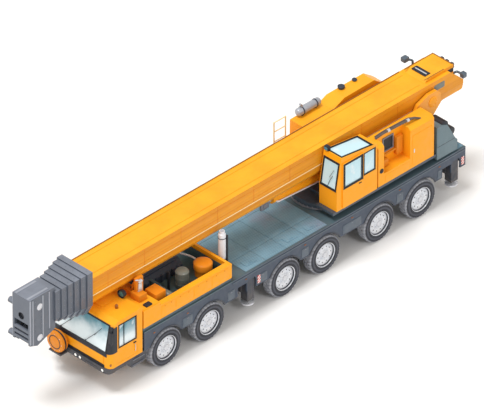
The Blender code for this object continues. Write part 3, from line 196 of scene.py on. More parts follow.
def paint(name, colour, rough=0.42, vary=0.07, dust=0.16, coat=0.25, specular=0.5, flank_shade=None, streaks=0.0):
    """Sprayed machine paint: slow drift of tone, fine orange peel and road dust low down.

    With a flank_shade colour, upright faces are painted darker than the tops as painted shade; streaks along the
    machine break that painted shade up.
    """
    s = Shader(name, rough, 0, coat, specular)
    tone = s.mottle(0.9, 4, 0.32, 0.68, 1, shade(colour, 1 - vary), shade(colour, 1 + vary))
    tone = s.mottle(7.0, 5, 0.55, 0.85, 0.35, tone, shade(colour, 0.82))
    if dust:
        low = s.ramp(s.axis("Z"), 0.1, 1.9, dust, 0.0)
        tone = s.mix(s.maths("MULTIPLY", low, s.ramp(s.noise(4.0, 6), 0.25, 0.7)), tone, srgb(150, 135, 115))
    # painted shade: upright faces take the darker flank_shade colour, as if lit from above, and streaks break it up
    if flank_shade:
        upright = s.ramp(s.maths("ABSOLUTE", s.axis("Z", "Normal")), 0.25, 0.80, 1.0, 0.0)
        lines = s.ramp(s.noise(1.0, 3, (0.05, 0.5, 5.0)), 0.36, 0.64, 1.0 - streaks, 1.0)
        tone = s.mix(s.maths("MULTIPLY", upright, lines), tone, flank_shade)
    s.colour(tone)
    s.uneven(0.10, 6)
    s.relief(s.noise(90.0, 2), 0.05, 0.002)
    return s.mat


def tread_plate(name, colour):
    """Walked-on deck plate with raised bars crossing each other."""
    s = Shader(name, 0.55)
    tone = s.mottle(1.6, 5, 0.3, 0.7, 1, shade(colour, 0.84), shade(colour, 1.12))
    tone = s.mottle(0.7, 3, 0.50, 0.68, 0.6, tone, srgb(126, 126, 146))
    bars = []
    for turn in (1, -1):
        mapping = s.node("ShaderNodeMapping")
        mapping.inputs["Rotation"].default_value = (0, 0, turn * pi / 4)
        mapping.inputs["Scale"].default_value = (16, 5, 5)
        s.link(s.coords, mapping.inputs["Vector"])
        bars.append(s.ramp(s.wave("X", 0.32, mapping.outputs["Vector"]), 0.72, 0.9))
    height = s.maths("MAXIMUM", bars[0], bars[1])
    s.colour(s.mix(s.maths("MULTIPLY", height, 0.35), tone, shade(colour, 1.5)))
    s.uneven(0.12, 12)
    s.relief(height, 0.35, 0.004)
    return s.mat


def tyre_rubber(name):
    """Black sidewalls with a lighter band of painted highlight, and a tread painted pale as a highlight; dust over
    all of it.
    """
    s = Shader(name, 0.62, specular=0.45)
    radius = s.radius()
    wall = s.mottle(3.0, 5, 0.3, 0.7, 1, srgb(38, 41, 49), srgb(56, 59, 68))
    # painted highlight: a lighter band round the sidewall
    wall = s.mix(s.maths("SUBTRACT", s.ramp(radius, 0.50, 0.53), s.ramp(radius, 0.56, 0.59)), wall, srgb(78, 81, 91))
    # painted highlight: the tread is painted pale grey, as if lit from above
    tread = s.mottle(5.0, 5, 0.3, 0.7, 1, srgb(140, 143, 152), srgb(176, 179, 187))
    tone = s.mix(s.ramp(radius, 0.618, 0.658), wall, tread)
    s.colour(s.mottle(11.0, 6, 0.5, 0.8, 0.2, tone, srgb(110, 102, 92)))
    s.uneven(0.08, 20)
    s.relief(s.noise(160.0, 3), 0.10, 0.002)
    return s.mat


def metal(name, colour, rough=0.3, stretch=(1, 1, 14), shine=0.45):
    s = Shader(name, rough, shine)
    grain = s.noise(12.0, 3, stretch)
    s.colour(s.mix(s.ramp(grain, 0.3, 0.7), shade(colour, 0.90), shade(colour, 1.06)))
    s.uneven(0.06, 9)
    s.relief(grain, 0.02, 0.001)
    return s.mat


def two_tone(name, low_colour, high_colour, height, rough=0.45):
    """Machine paint in two colours that meet at a height."""
    s = Shader(name, rough, 0, 0.2)
    tones = []
    for colour in (low_colour, high_colour):
        tones.append(s.mottle(0.9, 4, 0.32, 0.68, 1, shade(colour, 0.93), shade(colour, 1.07)))
    edge = s.maths("GREATER_THAN", s.axis("Z"), height)
    tone = s.mix(edge, tones[0], tones[1])
    s.colour(s.mottle(7.0, 5, 0.55, 0.85, 0.2, tone, srgb(90, 84, 76)))
    s.uneven(0.10, 6)
    s.relief(s.noise(90.0, 2), 0.05, 0.002)
    return s.mat


def wheel_disc(name):
    """A rim that is bright on its disc, with painted shade in the well behind it."""
    s = Shader(name, 0.34, 0.25, 0.2)
    radius = s.radius()
    bright = s.mottle(4.0, 3, 0.3, 0.7, 1, srgb(206, 211, 220), srgb(232, 235, 240))
    # painted shade: the well behind the disc is painted darker
    well = s.maths("SUBTRACT", s.ramp(radius, 0.376, 0.384), s.ramp(radius, 0.396, 0.402))
    tone = s.mix(well, bright, srgb(128, 133, 144))
    s.colour(s.mottle(9.0, 5, 0.5, 0.85, 0.25, tone, srgb(140, 134, 126)))
    s.uneven(0.08, 9)
    s.relief(s.noise(60.0, 2), 0.04, 0.002)
    return s.mat


def plastic(name, colour, rough=0.6):
    s = Shader(name, rough)
    s.colour(s.mottle(5.0, 5, 0.3, 0.7, 1, shade(colour, 0.85), shade(colour, 1.15)))
    s.uneven(0.06, 20)
    s.relief(s.noise(220.0, 2), 0.15, 0.001)
    return s.mat


def fabric(name, colour):
    s = Shader(name, 0.92)
    s.bsdf.inputs["Sheen Weight"].default_value = 0.25
    height = s.maths("MULTIPLY", s.wave("X", 40), s.wave("Z", 40))
    s.colour(s.mix(height, shade(colour, 0.7), shade(colour, 1.3)))
    s.relief(height, 0.3, 0.002)
    return s.mat


def sky_glass(name, low, high, pale=srgb(208, 240, 250), deep=srgb(112, 182, 200)):
    """A pane whose colour is a painted reflection: a pale ground low down, a deeper sky towards its top, and white
    glints in patches.
    """
    s = Shader(name, 0.06, alpha=0.93, specular=0.45)
    height = s.maths("ADD", s.axis("Z"), s.ramp(s.noise(1.6, 3), 0.3, 0.7, -0.12, 0.12))
    tone = s.mix(s.ramp(height, low, high), pale, deep)
    s.colour(s.mottle(2.6, 2, 0.60, 0.72, 0.5, tone, srgb(250, 253, 254)))
    s.uneven(0.03, 5)
    return s.mat


def lamp(name, colour, glow=0.0):
    s = Shader(name, 0.15, coat=0.6)
    wave = s.wave("Y", 22)
    s.colour(s.mix(wave, shade(colour, 0.82), colour))
    s.relief(wave, 0.2, 0.003)
    s.bsdf.inputs["Emission Color"].default_value = (*colour, 1)
    s.bsdf.inputs["Emission Strength"].default_value = glow
    return s.mat


def striped(name, one, two):
    """Slanting warning stripes."""
    s = Shader(name, 0.45)
    across = s.maths("ADD", s.maths("ADD", s.axis("X"), s.axis("Y")), s.axis("Z"))
    part = s.maths("FRACT", s.maths("DIVIDE", across, STRIPE_PITCH))
    edge = s.maths("GREATER_THAN", part, 0.5)
    s.colour(s.mottle(9.0, 4, 0.5, 0.8, 0.15, s.mix(edge, one, two), srgb(120, 110, 100)))
    s.uneven(0.08, 10)
    return s.mat


def rope_wire(name, colour):
    s = Shader(name, 0.45, 0.6)
    wave = s.wave("Y", 9)
    s.colour(s.mix(wave, shade(colour, 0.45), shade(colour, 1.1)))
    s.relief(wave, 0.8, 0.01)
    return s.mat


# YELLOW and BOOM_YELLOW paint painted shade on their upright faces through flank_shade; on the boom it is deeper and
# streaked
YELLOW = paint("yellow_paint_shaded_flanks", srgb(253, 171, 36), rough=0.45, dust=0.08, coat=0.05, specular=0.28,
               flank_shade=srgb(251, 166, 24))
BOOM_YELLOW = paint("boom_paint_shaded_flanks", srgb(253, 171, 36), rough=0.45, vary=0.09, dust=0, coat=0.05, specular=0.28,
                    flank_shade=srgb(220, 140, 24), streaks=0.5)
YELLOW_DEEP = paint("yellow_paint_shade", srgb(226, 136, 28), rough=0.5, coat=0.05, specular=0.25)
# painted shade: the carrier's sides below 1.70 m are darker than its deck top
SLATE_SHADED_SIDES = two_tone("slate_paint_shaded_sides", srgb(56, 69, 87), srgb(78, 98, 106), 1.70, 0.5)
SLATE_LIGHT = paint("slate_paint_light", srgb(80, 93, 106), rough=0.5, dust=0.1)
DARK = paint("dark_paint_finish", srgb(50, 57, 70), rough=0.55, dust=0.35, coat=0.1)
BLACK = plastic("black_plastic", srgb(34, 38, 46), 0.5)
SEAL = plastic("rubber_seal", srgb(30, 33, 39), 0.7)
DECK = tread_plate("deck_plate", srgb(106, 141, 159))
# GREY paints painted shade on its upright faces through flank_shade
GREY = paint("boom_grey_shaded_flanks", srgb(122, 128, 140), rough=0.42, vary=0.16, dust=0, flank_shade=srgb(92, 99, 111))
# painted highlight: a lighter grey for the head's edge strips
GREY_HIGHLIGHT = paint("boom_grey_highlight", srgb(154, 159, 170), rough=0.42, dust=0)
UPPER = two_tone("upper_frame_finish", srgb(62, 74, 86), srgb(250, 164, 24), 2.055)
STEEL = metal("steel_finish", srgb(214, 216, 222), 0.32)
CHROME = metal("chromed_rod", srgb(228, 231, 235), 0.14, (1, 14, 14), 0.8)
BARREL = metal("cylinder_finish", srgb(176, 180, 188), 0.34, (1, 8, 8), 0.3)
RIM = wheel_disc("rim_with_shaded_well")
CAST = metal("cast_steel", srgb(126, 129, 138), 0.5, (3, 3, 3), 0.3)
RUBBER = tyre_rubber("tyre_painted_highlights")
# on the windscreen the deep top is also painted shade under the boom
SCREEN_GLASS = sky_glass("windscreen_glass", 1.85, 2.62, srgb(236, 249, 253), srgb(74, 138, 156))
UPPER_GLASS = sky_glass("upper_glass", 3.0, 5.0)
ROOF_GLASS = sky_glass("roof_glass", 4.2, 6.4)
SILVER = paint("silver_paint_finish", srgb(226, 228, 234), rough=0.30, vary=0.04, dust=0, coat=0.4)
WEIGHT = paint("ballast_finish", srgb(96, 117, 125), rough=0.5, dust=0.06)
TRAY = paint("tray_liner_finish", srgb(62, 84, 88), rough=0.55, dust=0.2, coat=0.1)
HOSE = plastic("hose_rubber", srgb(96, 86, 80), 0.6)
# painted shade: a brown line along the boom's top edges
EDGE_SHADE = paint("edge_shade_line", srgb(150, 98, 42), rough=0.55, dust=0, coat=0.0, specular=0.3)
FABRIC = fabric("seat_cloth", srgb(58, 62, 74))
INTERIOR = plastic("dashboard_plastic", srgb(74, 78, 88), 0.65)
WHITE_LAMP = lamp("white_lamp", srgb(250, 250, 245), 0.25)
AMBER_LAMP = lamp("amber_lamp", srgb(150, 84, 26), 0.0)
RED_LAMP = lamp("red_lamp", srgb(200, 30, 24), 0.10)
# cream paint: the handrails' own colour, and on the boom's sides a painted highlight line along the lower edge
CREAM = paint("cream_line", srgb(255, 228, 170), rough=0.45, dust=0)
STRIPES = striped("warning_stripes", srgb(214, 40, 34), srgb(240, 240, 236))
ROPE = rope_wire("wire_rope", srgb(150, 148, 150))
OLIVE = paint("filter_finish", srgb(112, 116, 108), rough=0.5, dust=0)

# The slot that a piece of each finish goes in, unless the piece says another
SLOT_OF = {finish.name: slot for slot, finishes in (
    ("dark_paint", (BLACK, DARK, SEAL, STRIPES, RED_LAMP, INTERIOR, HOSE, EDGE_SHADE)),
    ("bright_steel", (CAST, STEEL, CHROME, BARREL, SILVER, WHITE_LAMP, ROPE, RIM)),
    ("yellow_paint", (YELLOW, YELLOW_DEEP, CREAM, AMBER_LAMP, BOOM_YELLOW)),
    ("slate_paint", (SLATE_LIGHT, DECK, OLIVE, TRAY)),
    ("tinted_glass", (SCREEN_GLASS, UPPER_GLASS, ROOF_GLASS)),
    ("tyre_rubber", (RUBBER,)),
    ("boom_grey", (GREY_HIGHLIGHT,))) for finish in finishes}


# Shapes

PLACES = {"x": lambda a, b, c: (c, a, b), "y": lambda a, b, c: (a, c, b), "z": lambda a, b, c: (a, b, c)}


class Piece:
    """A named piece, made of small closed shapes, that rides on a body."""

    def __init__(self, name, material, body="carrier", slot=None):
        self.name, self.body, self.material = name, body, material
        self.slot = slot or SLOT_OF[material.name]
        self.bm = bmesh.new()

    def take(self, bm, bevel=0.0, matrix=None):
        bmesh.ops.recalc_face_normals(bm, faces=bm.faces)
        if bevel:
            edges = [e for e in bm.edges if len(e.link_faces) == 2 and e.calc_face_angle(0) > 0.5]
            bmesh.ops.bevel(bm, geom=edges, offset=bevel, segments=2, profile=0.6, affect="EDGES", clamp_overlap=True)
        if matrix:
            bm.transform(matrix)
        mesh = bpy.data.meshes.new("part")
        bm.to_mesh(mesh)
        bm.free()
        self.bm.from_mesh(mesh)
        bpy.data.meshes.remove(mesh)
        return self

    def prism(self, outline, axis, low, high, bevel=0.008):
        place = PLACES[axis]
        bm = bmesh.new()
        ends = [[bm.verts.new(place(a, b, c)) for a, b in outline] for c in sorted((low, high))]
        for ring in ends:
            bm.faces.new(ring)
        for i in range(len(outline)):
            bm.faces.new((ends[0][i - 1], ends[0][i], ends[1][i], ends[1][i - 1]))
        return self.take(bm, bevel)

    def block(self, x, y, z, bevel=0.008):
        return self.prism(rectangle(sorted(x), sorted(y)), "z", *z, bevel)

    def panel(self, a, b, corner, axis, low, high, bevel):
        return self.prism(rounded(a, b, corner), axis, low, high, bevel)

    def ring(self, outer, inner, axis, low, high):
        """A frame between two outlines with the same number of points."""
        place = PLACES[axis]
        bm = bmesh.new()
        loops = [[bm.verts.new(place(a, b, c)) for a, b in line]
                 for c in sorted((low, high)) for line in (outer, inner)]
        return self.closed(bm, loops)

    def closed(self, bm, loops):
        """Faces between a frame's four loops: outer and inner, low and high."""
        for a, b in ((0, 1), (1, 3), (3, 2), (2, 0)):
            for i in range(len(loops[0])):
                bm.faces.new((loops[a][i - 1], loops[a][i], loops[b][i], loops[b][i - 1]))
        return self.take(bm)

    def turned(self, profile, axis, centre, sides=32, hollow=False, matrix=None, arc=None):
        place = PLACES[axis]
        middle = Vector(centre)
        bm = bmesh.new()
        start, end = arc or (0, 2 * pi)
        count = sides if arc is None else sides + 1
        rings = []
        for along, radius in profile:
            turns = [start + (end - start) * i / sides for i in range(count)]
            rings.append([bm.verts.new(middle + Vector(place(radius * sin(t), -radius * cos(t),
                         along))) for t in turns])
        pairs = list(zip(rings, rings[1:]))
        if hollow:
            pairs.append((rings[-1], rings[0]))
        elif arc is None:
            bm.faces.new(rings[0])
            bm.faces.new(rings[-1])
        for one, two in pairs:
            for i in range(count if arc is None else count - 1):
                j = (i + 1) % count
                bm.faces.new((one[i], one[j], two[j], two[i]))
        if arc is not None:
            for i in (0, -1):
                bm.faces.new([ring[i] for ring in rings])
        return self.take(bm, matrix=matrix)

    def pipe(self, points, radius, sides=10, bend=0.0):
        """A round bar along a path, its corners rounded."""
        points = [Vector(p) for p in points]
        if bend:
            soft = [points[0]]
            for before, here, after in zip(points, points[1:], points[2:]):
                reach = min(bend, (here - before).length * 0.45, (after - here).length * 0.45)
                a, b = here + (before - here).normalized() * reach, here + (after - here).normalized() * reach
                for step in range(5):
                    t = step / 4
                    soft.append(a * (1 - t) ** 2 + here * 2 * t * (1 - t) + b * t ** 2)
            points = soft + [points[-1]]
        bm = bmesh.new()
        rings = []
        side = None
        turns = [2 * pi * k / sides for k in range(sides)]
        for i, here in enumerate(points):
            ahead = (points[min(i + 1, len(points) - 1)] - points[max(i - 1, 0)]).normalized()
            if side is None:
                side = ahead.orthogonal().normalized()
            side = (side - ahead * side.dot(ahead)).normalized()
            up = ahead.cross(side)
            rings.append([bm.verts.new(here + (side * cos(t) + up * sin(t)) * radius) for t in turns])
        bm.faces.new(rings[0])
        bm.faces.new(rings[-1])
        for one, two in zip(rings, rings[1:]):
            for k in range(sides):
                bm.faces.new((one[k - 1], one[k], two[k], two[k - 1]))
        return self.take(bm)

    def bolts(self, places, axis, radius, height):
        """Bolt heads standing on a face; height is signed along the axis."""
        for x, y, z in places:
            self.turned([(0, radius), (height * 0.7, radius), (height, radius * 0.75)], axis, (x, y, z), 6)
        return self

    def done(self, replaces=()):
        bmesh.ops.recalc_face_normals(self.bm, faces=self.bm.faces)
        mesh = bpy.data.meshes.new(self.name)
        self.bm.to_mesh(mesh)
        self.bm.free()
        mesh.materials.append(self.material)
        for face in mesh.polygons:
            face.use_smooth = True
        mesh.set_sharp_from_angle(angle=radians(SMOOTH_BELOW))
        return placed(self.name, mesh, self.body, replaces)


def placed(name, mesh, body, replaces=(), matrix=None):
    thing = bpy.data.objects.new(name, mesh)
    scene.collection.objects.link(thing)
    if matrix:
        thing.matrix_world = matrix
    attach(thing, body)
    if replaces:
        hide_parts(*replaces)
    return thing


def rectangle(a, b):
    return [(a[0], b[0]), (a[1], b[0]), (a[1], b[1]), (a[0], b[1])]


def rounded(a, b, r, steps=4):
    """A rectangle's outline with rounded corners."""
    points = []
    for cx, cy, start in ((a[1] - r, b[0] + r, -90), (a[1] - r, b[1] - r, 0), (a[0] + r, b[1] - r, 90),
                          (a[0] + r, b[0] + r, 180)):
        for i in range(steps + 1):
            t = radians(start + 90 * i / steps)
            points.append((cx + r * cos(t), cy + r * sin(t)))
    return points


def around(count, radius, turn=0.0):
    """Places spaced evenly on a circle, as pairs of radius * cos and radius * sin."""
    for i in range(count):
        t = 2 * pi * (i + turn) / count
        yield radius * cos(t), radius * sin(t)


# CAD nodes that stay: their finishes and softened edges

def finish_node(name, material, width):
    thing = NODES[name]
    for lane in range(max(1, len(thing.data.materials))):
        if len(thing.data.materials) > lane:
            thing.data.materials[lane] = material
        else:
            thing.data.materials.append(material)
    if width:
        bevel = thing.modifiers.new("edges", "BEVEL")
        bevel.width = width
        bevel.segments = 2
        bevel.limit_method = "ANGLE"
        bevel.angle_limit = radians(35)
        bevel.use_clamp_overlap = True


for node_name, material, width in (
        ("carrier_frame", SLATE_SHADED_SIDES, 0.012), ("drive_axles", DARK, 0), ("front_deck", YELLOW, 0.015),
        ("boom_rest", YELLOW_DEEP, 0.010), ("driver_cab_shell", YELLOW, 0.022),
        ("driver_windscreen", SCREEN_GLASS, 0), ("front_bumper", DARK, 0.018),
        ("driver_door_left", YELLOW, 0.008), ("driver_door_right", YELLOW, 0.008),
        ("superstructure_frame", UPPER, 0.010), ("left_house", YELLOW, 0.022), ("engine_house", YELLOW, 0.022),
        ("counterweight", WEIGHT, 0.022), ("operator_cab_shell", YELLOW, 0.012), ("operator_door", YELLOW, 0.006),
        ("boom_base", BOOM_YELLOW, 0.012), ("luffing_barrel", YELLOW, 0.006), ("luffing_rod", CHROME, 0),
        ("hoist_winch", DARK, 0.006), ("boom_collar", GREY, 0.010)):
    finish_node(node_name, material, width)
for step in range(1, 6):
    finish_node(f"boom_section_{step}", GREY, 0.010)
for side_name, _ in SIDES:
    for number in STEERED:
        finish_node(f"knuckle_{number}_{side_name}", DARK, 0)
    for end in ("front", "rear"):
        finish_node(f"outrigger_beam_{end}_{side_name}", DARK, 0.006)
        finish_node(f"outrigger_jack_{end}_{side_name}", STEEL, 0)


# Wheels

def wheel_pieces():
    meshes = {}
    for side_name, side in SIDES:
        tyre = Piece("tyre", RUBBER)
        profile = [(0.165, 0.424), (0.181, 0.432), (0.189, 0.455), (0.194, 0.50), (0.193, 0.54), (0.187, 0.585),
                   (0.174, 0.63), (0.150, 0.655), (0.10, 0.660), (0.012, 0.662)]
        loop = profile + [(-a, r) for a, r in reversed(profile)] + [(-0.16, 0.39), (0.16, 0.39)]
        tyre.turned(loop, "y", (0, 0, 0), 48, hollow=True)
        for ridge in (0.47, 0.56):
            tyre.turned([(side * 0.186, ridge - 0.006), (side * 0.1945, ridge), (side * 0.186, ridge + 0.006)], "y",
                        (0, 0, 0), 48, hollow=True)
        for i in range(LUGS):
            for way in (1, -1):
                turn = 2 * pi * (i + (0.25 if way > 0 else -0.25)) / LUGS
                wide = 2 * pi / LUGS * 0.31
                bm = bmesh.new()
                corners = []
                for along, low, high, slant in ((0.014, 0.655, 0.680, 0.06), (0.135, 0.655, 0.680, 0.0),
                                                (0.176, 0.605, 0.648, -0.02)):
                    for radius in (low, high):
                        for edge in (-wide, wide):
                            t = turn + edge + slant
                            corners.append(bm.verts.new((radius * sin(t), way * along, radius * cos(t))))
                for a in (0, 4):
                    bm.faces.new((corners[a], corners[a + 1], corners[a + 5], corners[a + 4]))
                    bm.faces.new((corners[a + 2], corners[a + 3], corners[a + 7], corners[a + 6]))
                    bm.faces.new((corners[a], corners[a + 2], corners[a + 6], corners[a + 4]))
                    bm.faces.new((corners[a + 1], corners[a + 3], corners[a + 7], corners[a + 5]))
                bm.faces.new(corners[0:2] + corners[3:1:-1])
                bm.faces.new(corners[8:10] + corners[11:9:-1])
                tyre.take(bm)
        rim = Piece("rim", RIM)
        face = [(0.172, 0.436), (0.186, 0.430), (0.186, 0.416), (0.168, 0.408), (0.146, 0.402), (0.128, 0.392),
                (0.122, 0.378), (0.128, 0.350), (0.132, 0.310), (0.132, 0.255), (0.134, 0.205), (0.134, 0.165),
                (0.150, 0.150), (0.160, 0.138), (0.160, 0.114)]
        rim.turned([(side * a, r) for a, r in face] + [(side * 0.03, 0.105), (-side * 0.165, 0.105),
                   (-side * 0.165, 0.40)], "y", (0, 0, 0), 48, hollow=True)
        rim.bolts([(b, side * 0.130, a) for a, b in around(12, 0.188)], "y", 0.014, side * 0.030)
        hub = Piece("hub", STEEL)
        hub.turned([(side * 0.150, 0.112), (side * 0.178, 0.106), (side * 0.188, 0.09), (side * 0.192, 0.05),
                    (side * 0.193, 0.012)], "y", (0, 0, 0), 28)
        hub.bolts([(b, side * 0.186, a) for a, b in around(6, 0.082)], "y", 0.009, side * 0.008)
        vents = Piece("rim_vents", BLACK)
        for a, b in around(10, 0.288, 0.5):
            vents.turned([(side * 0.12, 0.022), (side * 0.1335, 0.022)], "y", (b, 0, a), 14)
        vents.turned([(-side * 0.10, 0.30), (-side * 0.05, 0.30)], "y", (0, 0, 0), 24)
        for piece in (tyre, rim, hub, vents):
            mesh = bpy.data.meshes.new(f"{piece.name}_{side_name}")
            bmesh.ops.recalc_face_normals(piece.bm, faces=piece.bm.faces)
            piece.bm.to_mesh(mesh)
            piece.bm.free()
            mesh.materials.append(piece.material)
            for polygon in mesh.polygons:
                polygon.use_smooth = True
            mesh.set_sharp_from_angle(angle=radians(WHEEL_SMOOTH_BELOW))
            meshes[piece.name, side_name] = mesh
    for number, x in AXLES:
        for side_name, side in SIDES:
            body = f"wheel_{number}_{side_name}"
            place = Matrix.Translation((x, side * WHEEL_Y, WHEEL_Z))
            for name, slot, replaces in (("tyre", "tyre_rubber", (body,)), ("rim", "bright_steel", ()),
                                         ("hub", "bright_steel", ()), ("rim_vents", "dark_paint", ())):
                placed(f"{name}_{number}_{side_name}", meshes[name, side_name], body, replaces, place)


# Carrier

def carrier_pieces():
    outer = 1.47
    lips = Piece("arch_lips", DARK)
    for number, x in AXLES:
        for side in BOTH:
            lips.turned(rectangle((side * 1.405, side * 1.482), (0.762, 0.792)),
                        "y", (x, 0, WHEEL_Z), 28, arc=(radians(117), radians(243)))
    lips.done()
    panels = Piece("skirt_panels", SLATE_LIGHT)
    latches = Piece("skirt_latches", CAST)
    markers = Piece("side_markers", AMBER_LAMP)
    for low, high in ((3.50, 3.92), (1.62, 1.92), (0.16, 0.54), (-1.70, -1.40), (-4.08, -3.26), (-5.98, -5.70),
                      (-7.72, -7.56)):
        for side in BOTH:
            face = (side * (outer - 0.004), side * (outer + 0.010))
            panels.panel((low, high), (1.07, 1.40), 0.03, "y", *face, 0.004)
            latches.block(((low + high) / 2 - 0.04, (low + high) / 2 + 0.04),
                          (side * (outer + 0.006), side * (outer + 0.020)), (1.33, 1.355), 0.004)
    for x in (5.2, 3.71, 1.1, -1.55, -3.67, -5.84, -7.64):
        for side in BOTH:
            face = (side * (outer - 0.003), side * (outer + 0.014))
            markers.panel((x - 0.045, x + 0.045), (1.505, 1.54), 0.014, "y", *face, 0.004)
    panels.done()
    latches.done()
    markers.done()
    rail = Piece("deck_edge_rail", SLATE_LIGHT)
    for side in BOTH:
        face = (side * (outer - 0.002), side * (outer + 0.016))
        rail.block((-8.82, 1.70), face, (1.615, 1.66), 0.006)
        rail.block((-8.82, 1.70), face, (1.705, 1.738), 0.006)
    rail.done()
    plates = Piece("deck_plates", DECK)
    for low, high in ((-2.60, -1.705), (-1.695, -0.785), (-0.775, 0.135), (0.145, 1.04)):
        for ys in ((-1.40, -0.705), (-0.695, 0.695), (0.705, 1.40)):
            plates.block((low, high), ys, (1.7395, 1.750), 0.003)
    plates.block((-8.80, -8.30), (-1.40, 1.40), (1.7395, 1.750), 0.003)
    plates.done()
    hatch = Piece("deck_hatches", DECK)
    for x in (-2.16, -1.24, 0.60):
        for y in (-1.06, 1.06):
            hatch.panel((x - 0.24, x + 0.24), (y - 0.16, y + 0.16), 0.04, "z", 1.7505, 1.766, 0.004)
            hatch.pipe([(x - 0.07, y + 0.10, 1.764), (x - 0.07, y + 0.10, 1.79), (x + 0.07, y + 0.10, 1.79),
                        (x + 0.07, y + 0.10, 1.764)], 0.007, 6, 0.012)
    hatch.done()
    rear = Piece("tail_lamps", RED_LAMP)
    frame_plate = Piece("tail_plate", DARK)
    frame_plate.block((-8.829, -8.80), (-1.44, 1.44), (1.04, 1.22), 0.01)
    for side in BOTH:
        for offset in (1.32, 1.18, 1.04):
            rear.turned([(-8.826, 0.05), (-8.8295, 0.045)], "x", (0, side * offset, 1.45), 20)
    rear.done()
    frame_plate.done()
    stripes = Piece("outrigger_markers", STRIPES)
    for x in (0.53, -8.70):
        for side in BOTH:
            stripes.block((x - 0.06, x + 0.06), (side * 1.468, side * 1.484), (1.10, 1.40), 0.003)
    stripes.done()
    sills = Piece("cab_sills", DARK)
    steps = Piece("cab_steps", CAST)
    for side in BOTH:
        ys = (side * 1.20, side * 1.425)
        sills.prism([(5.50, 0.98), (5.50, 0.70), (5.58, 0.62), (6.16, 0.62), (6.34, 0.84), (6.90, 0.84),
                     (6.90, 1.018), (5.60, 1.018)], "y", *ys, 0.012)
        for z in (0.66, 0.86):
            steps.block((5.60, 6.12), (side * 1.40, side * 1.445), (z, z + 0.03), 0.008)
    sills.done()
    steps.done()


# Front deck

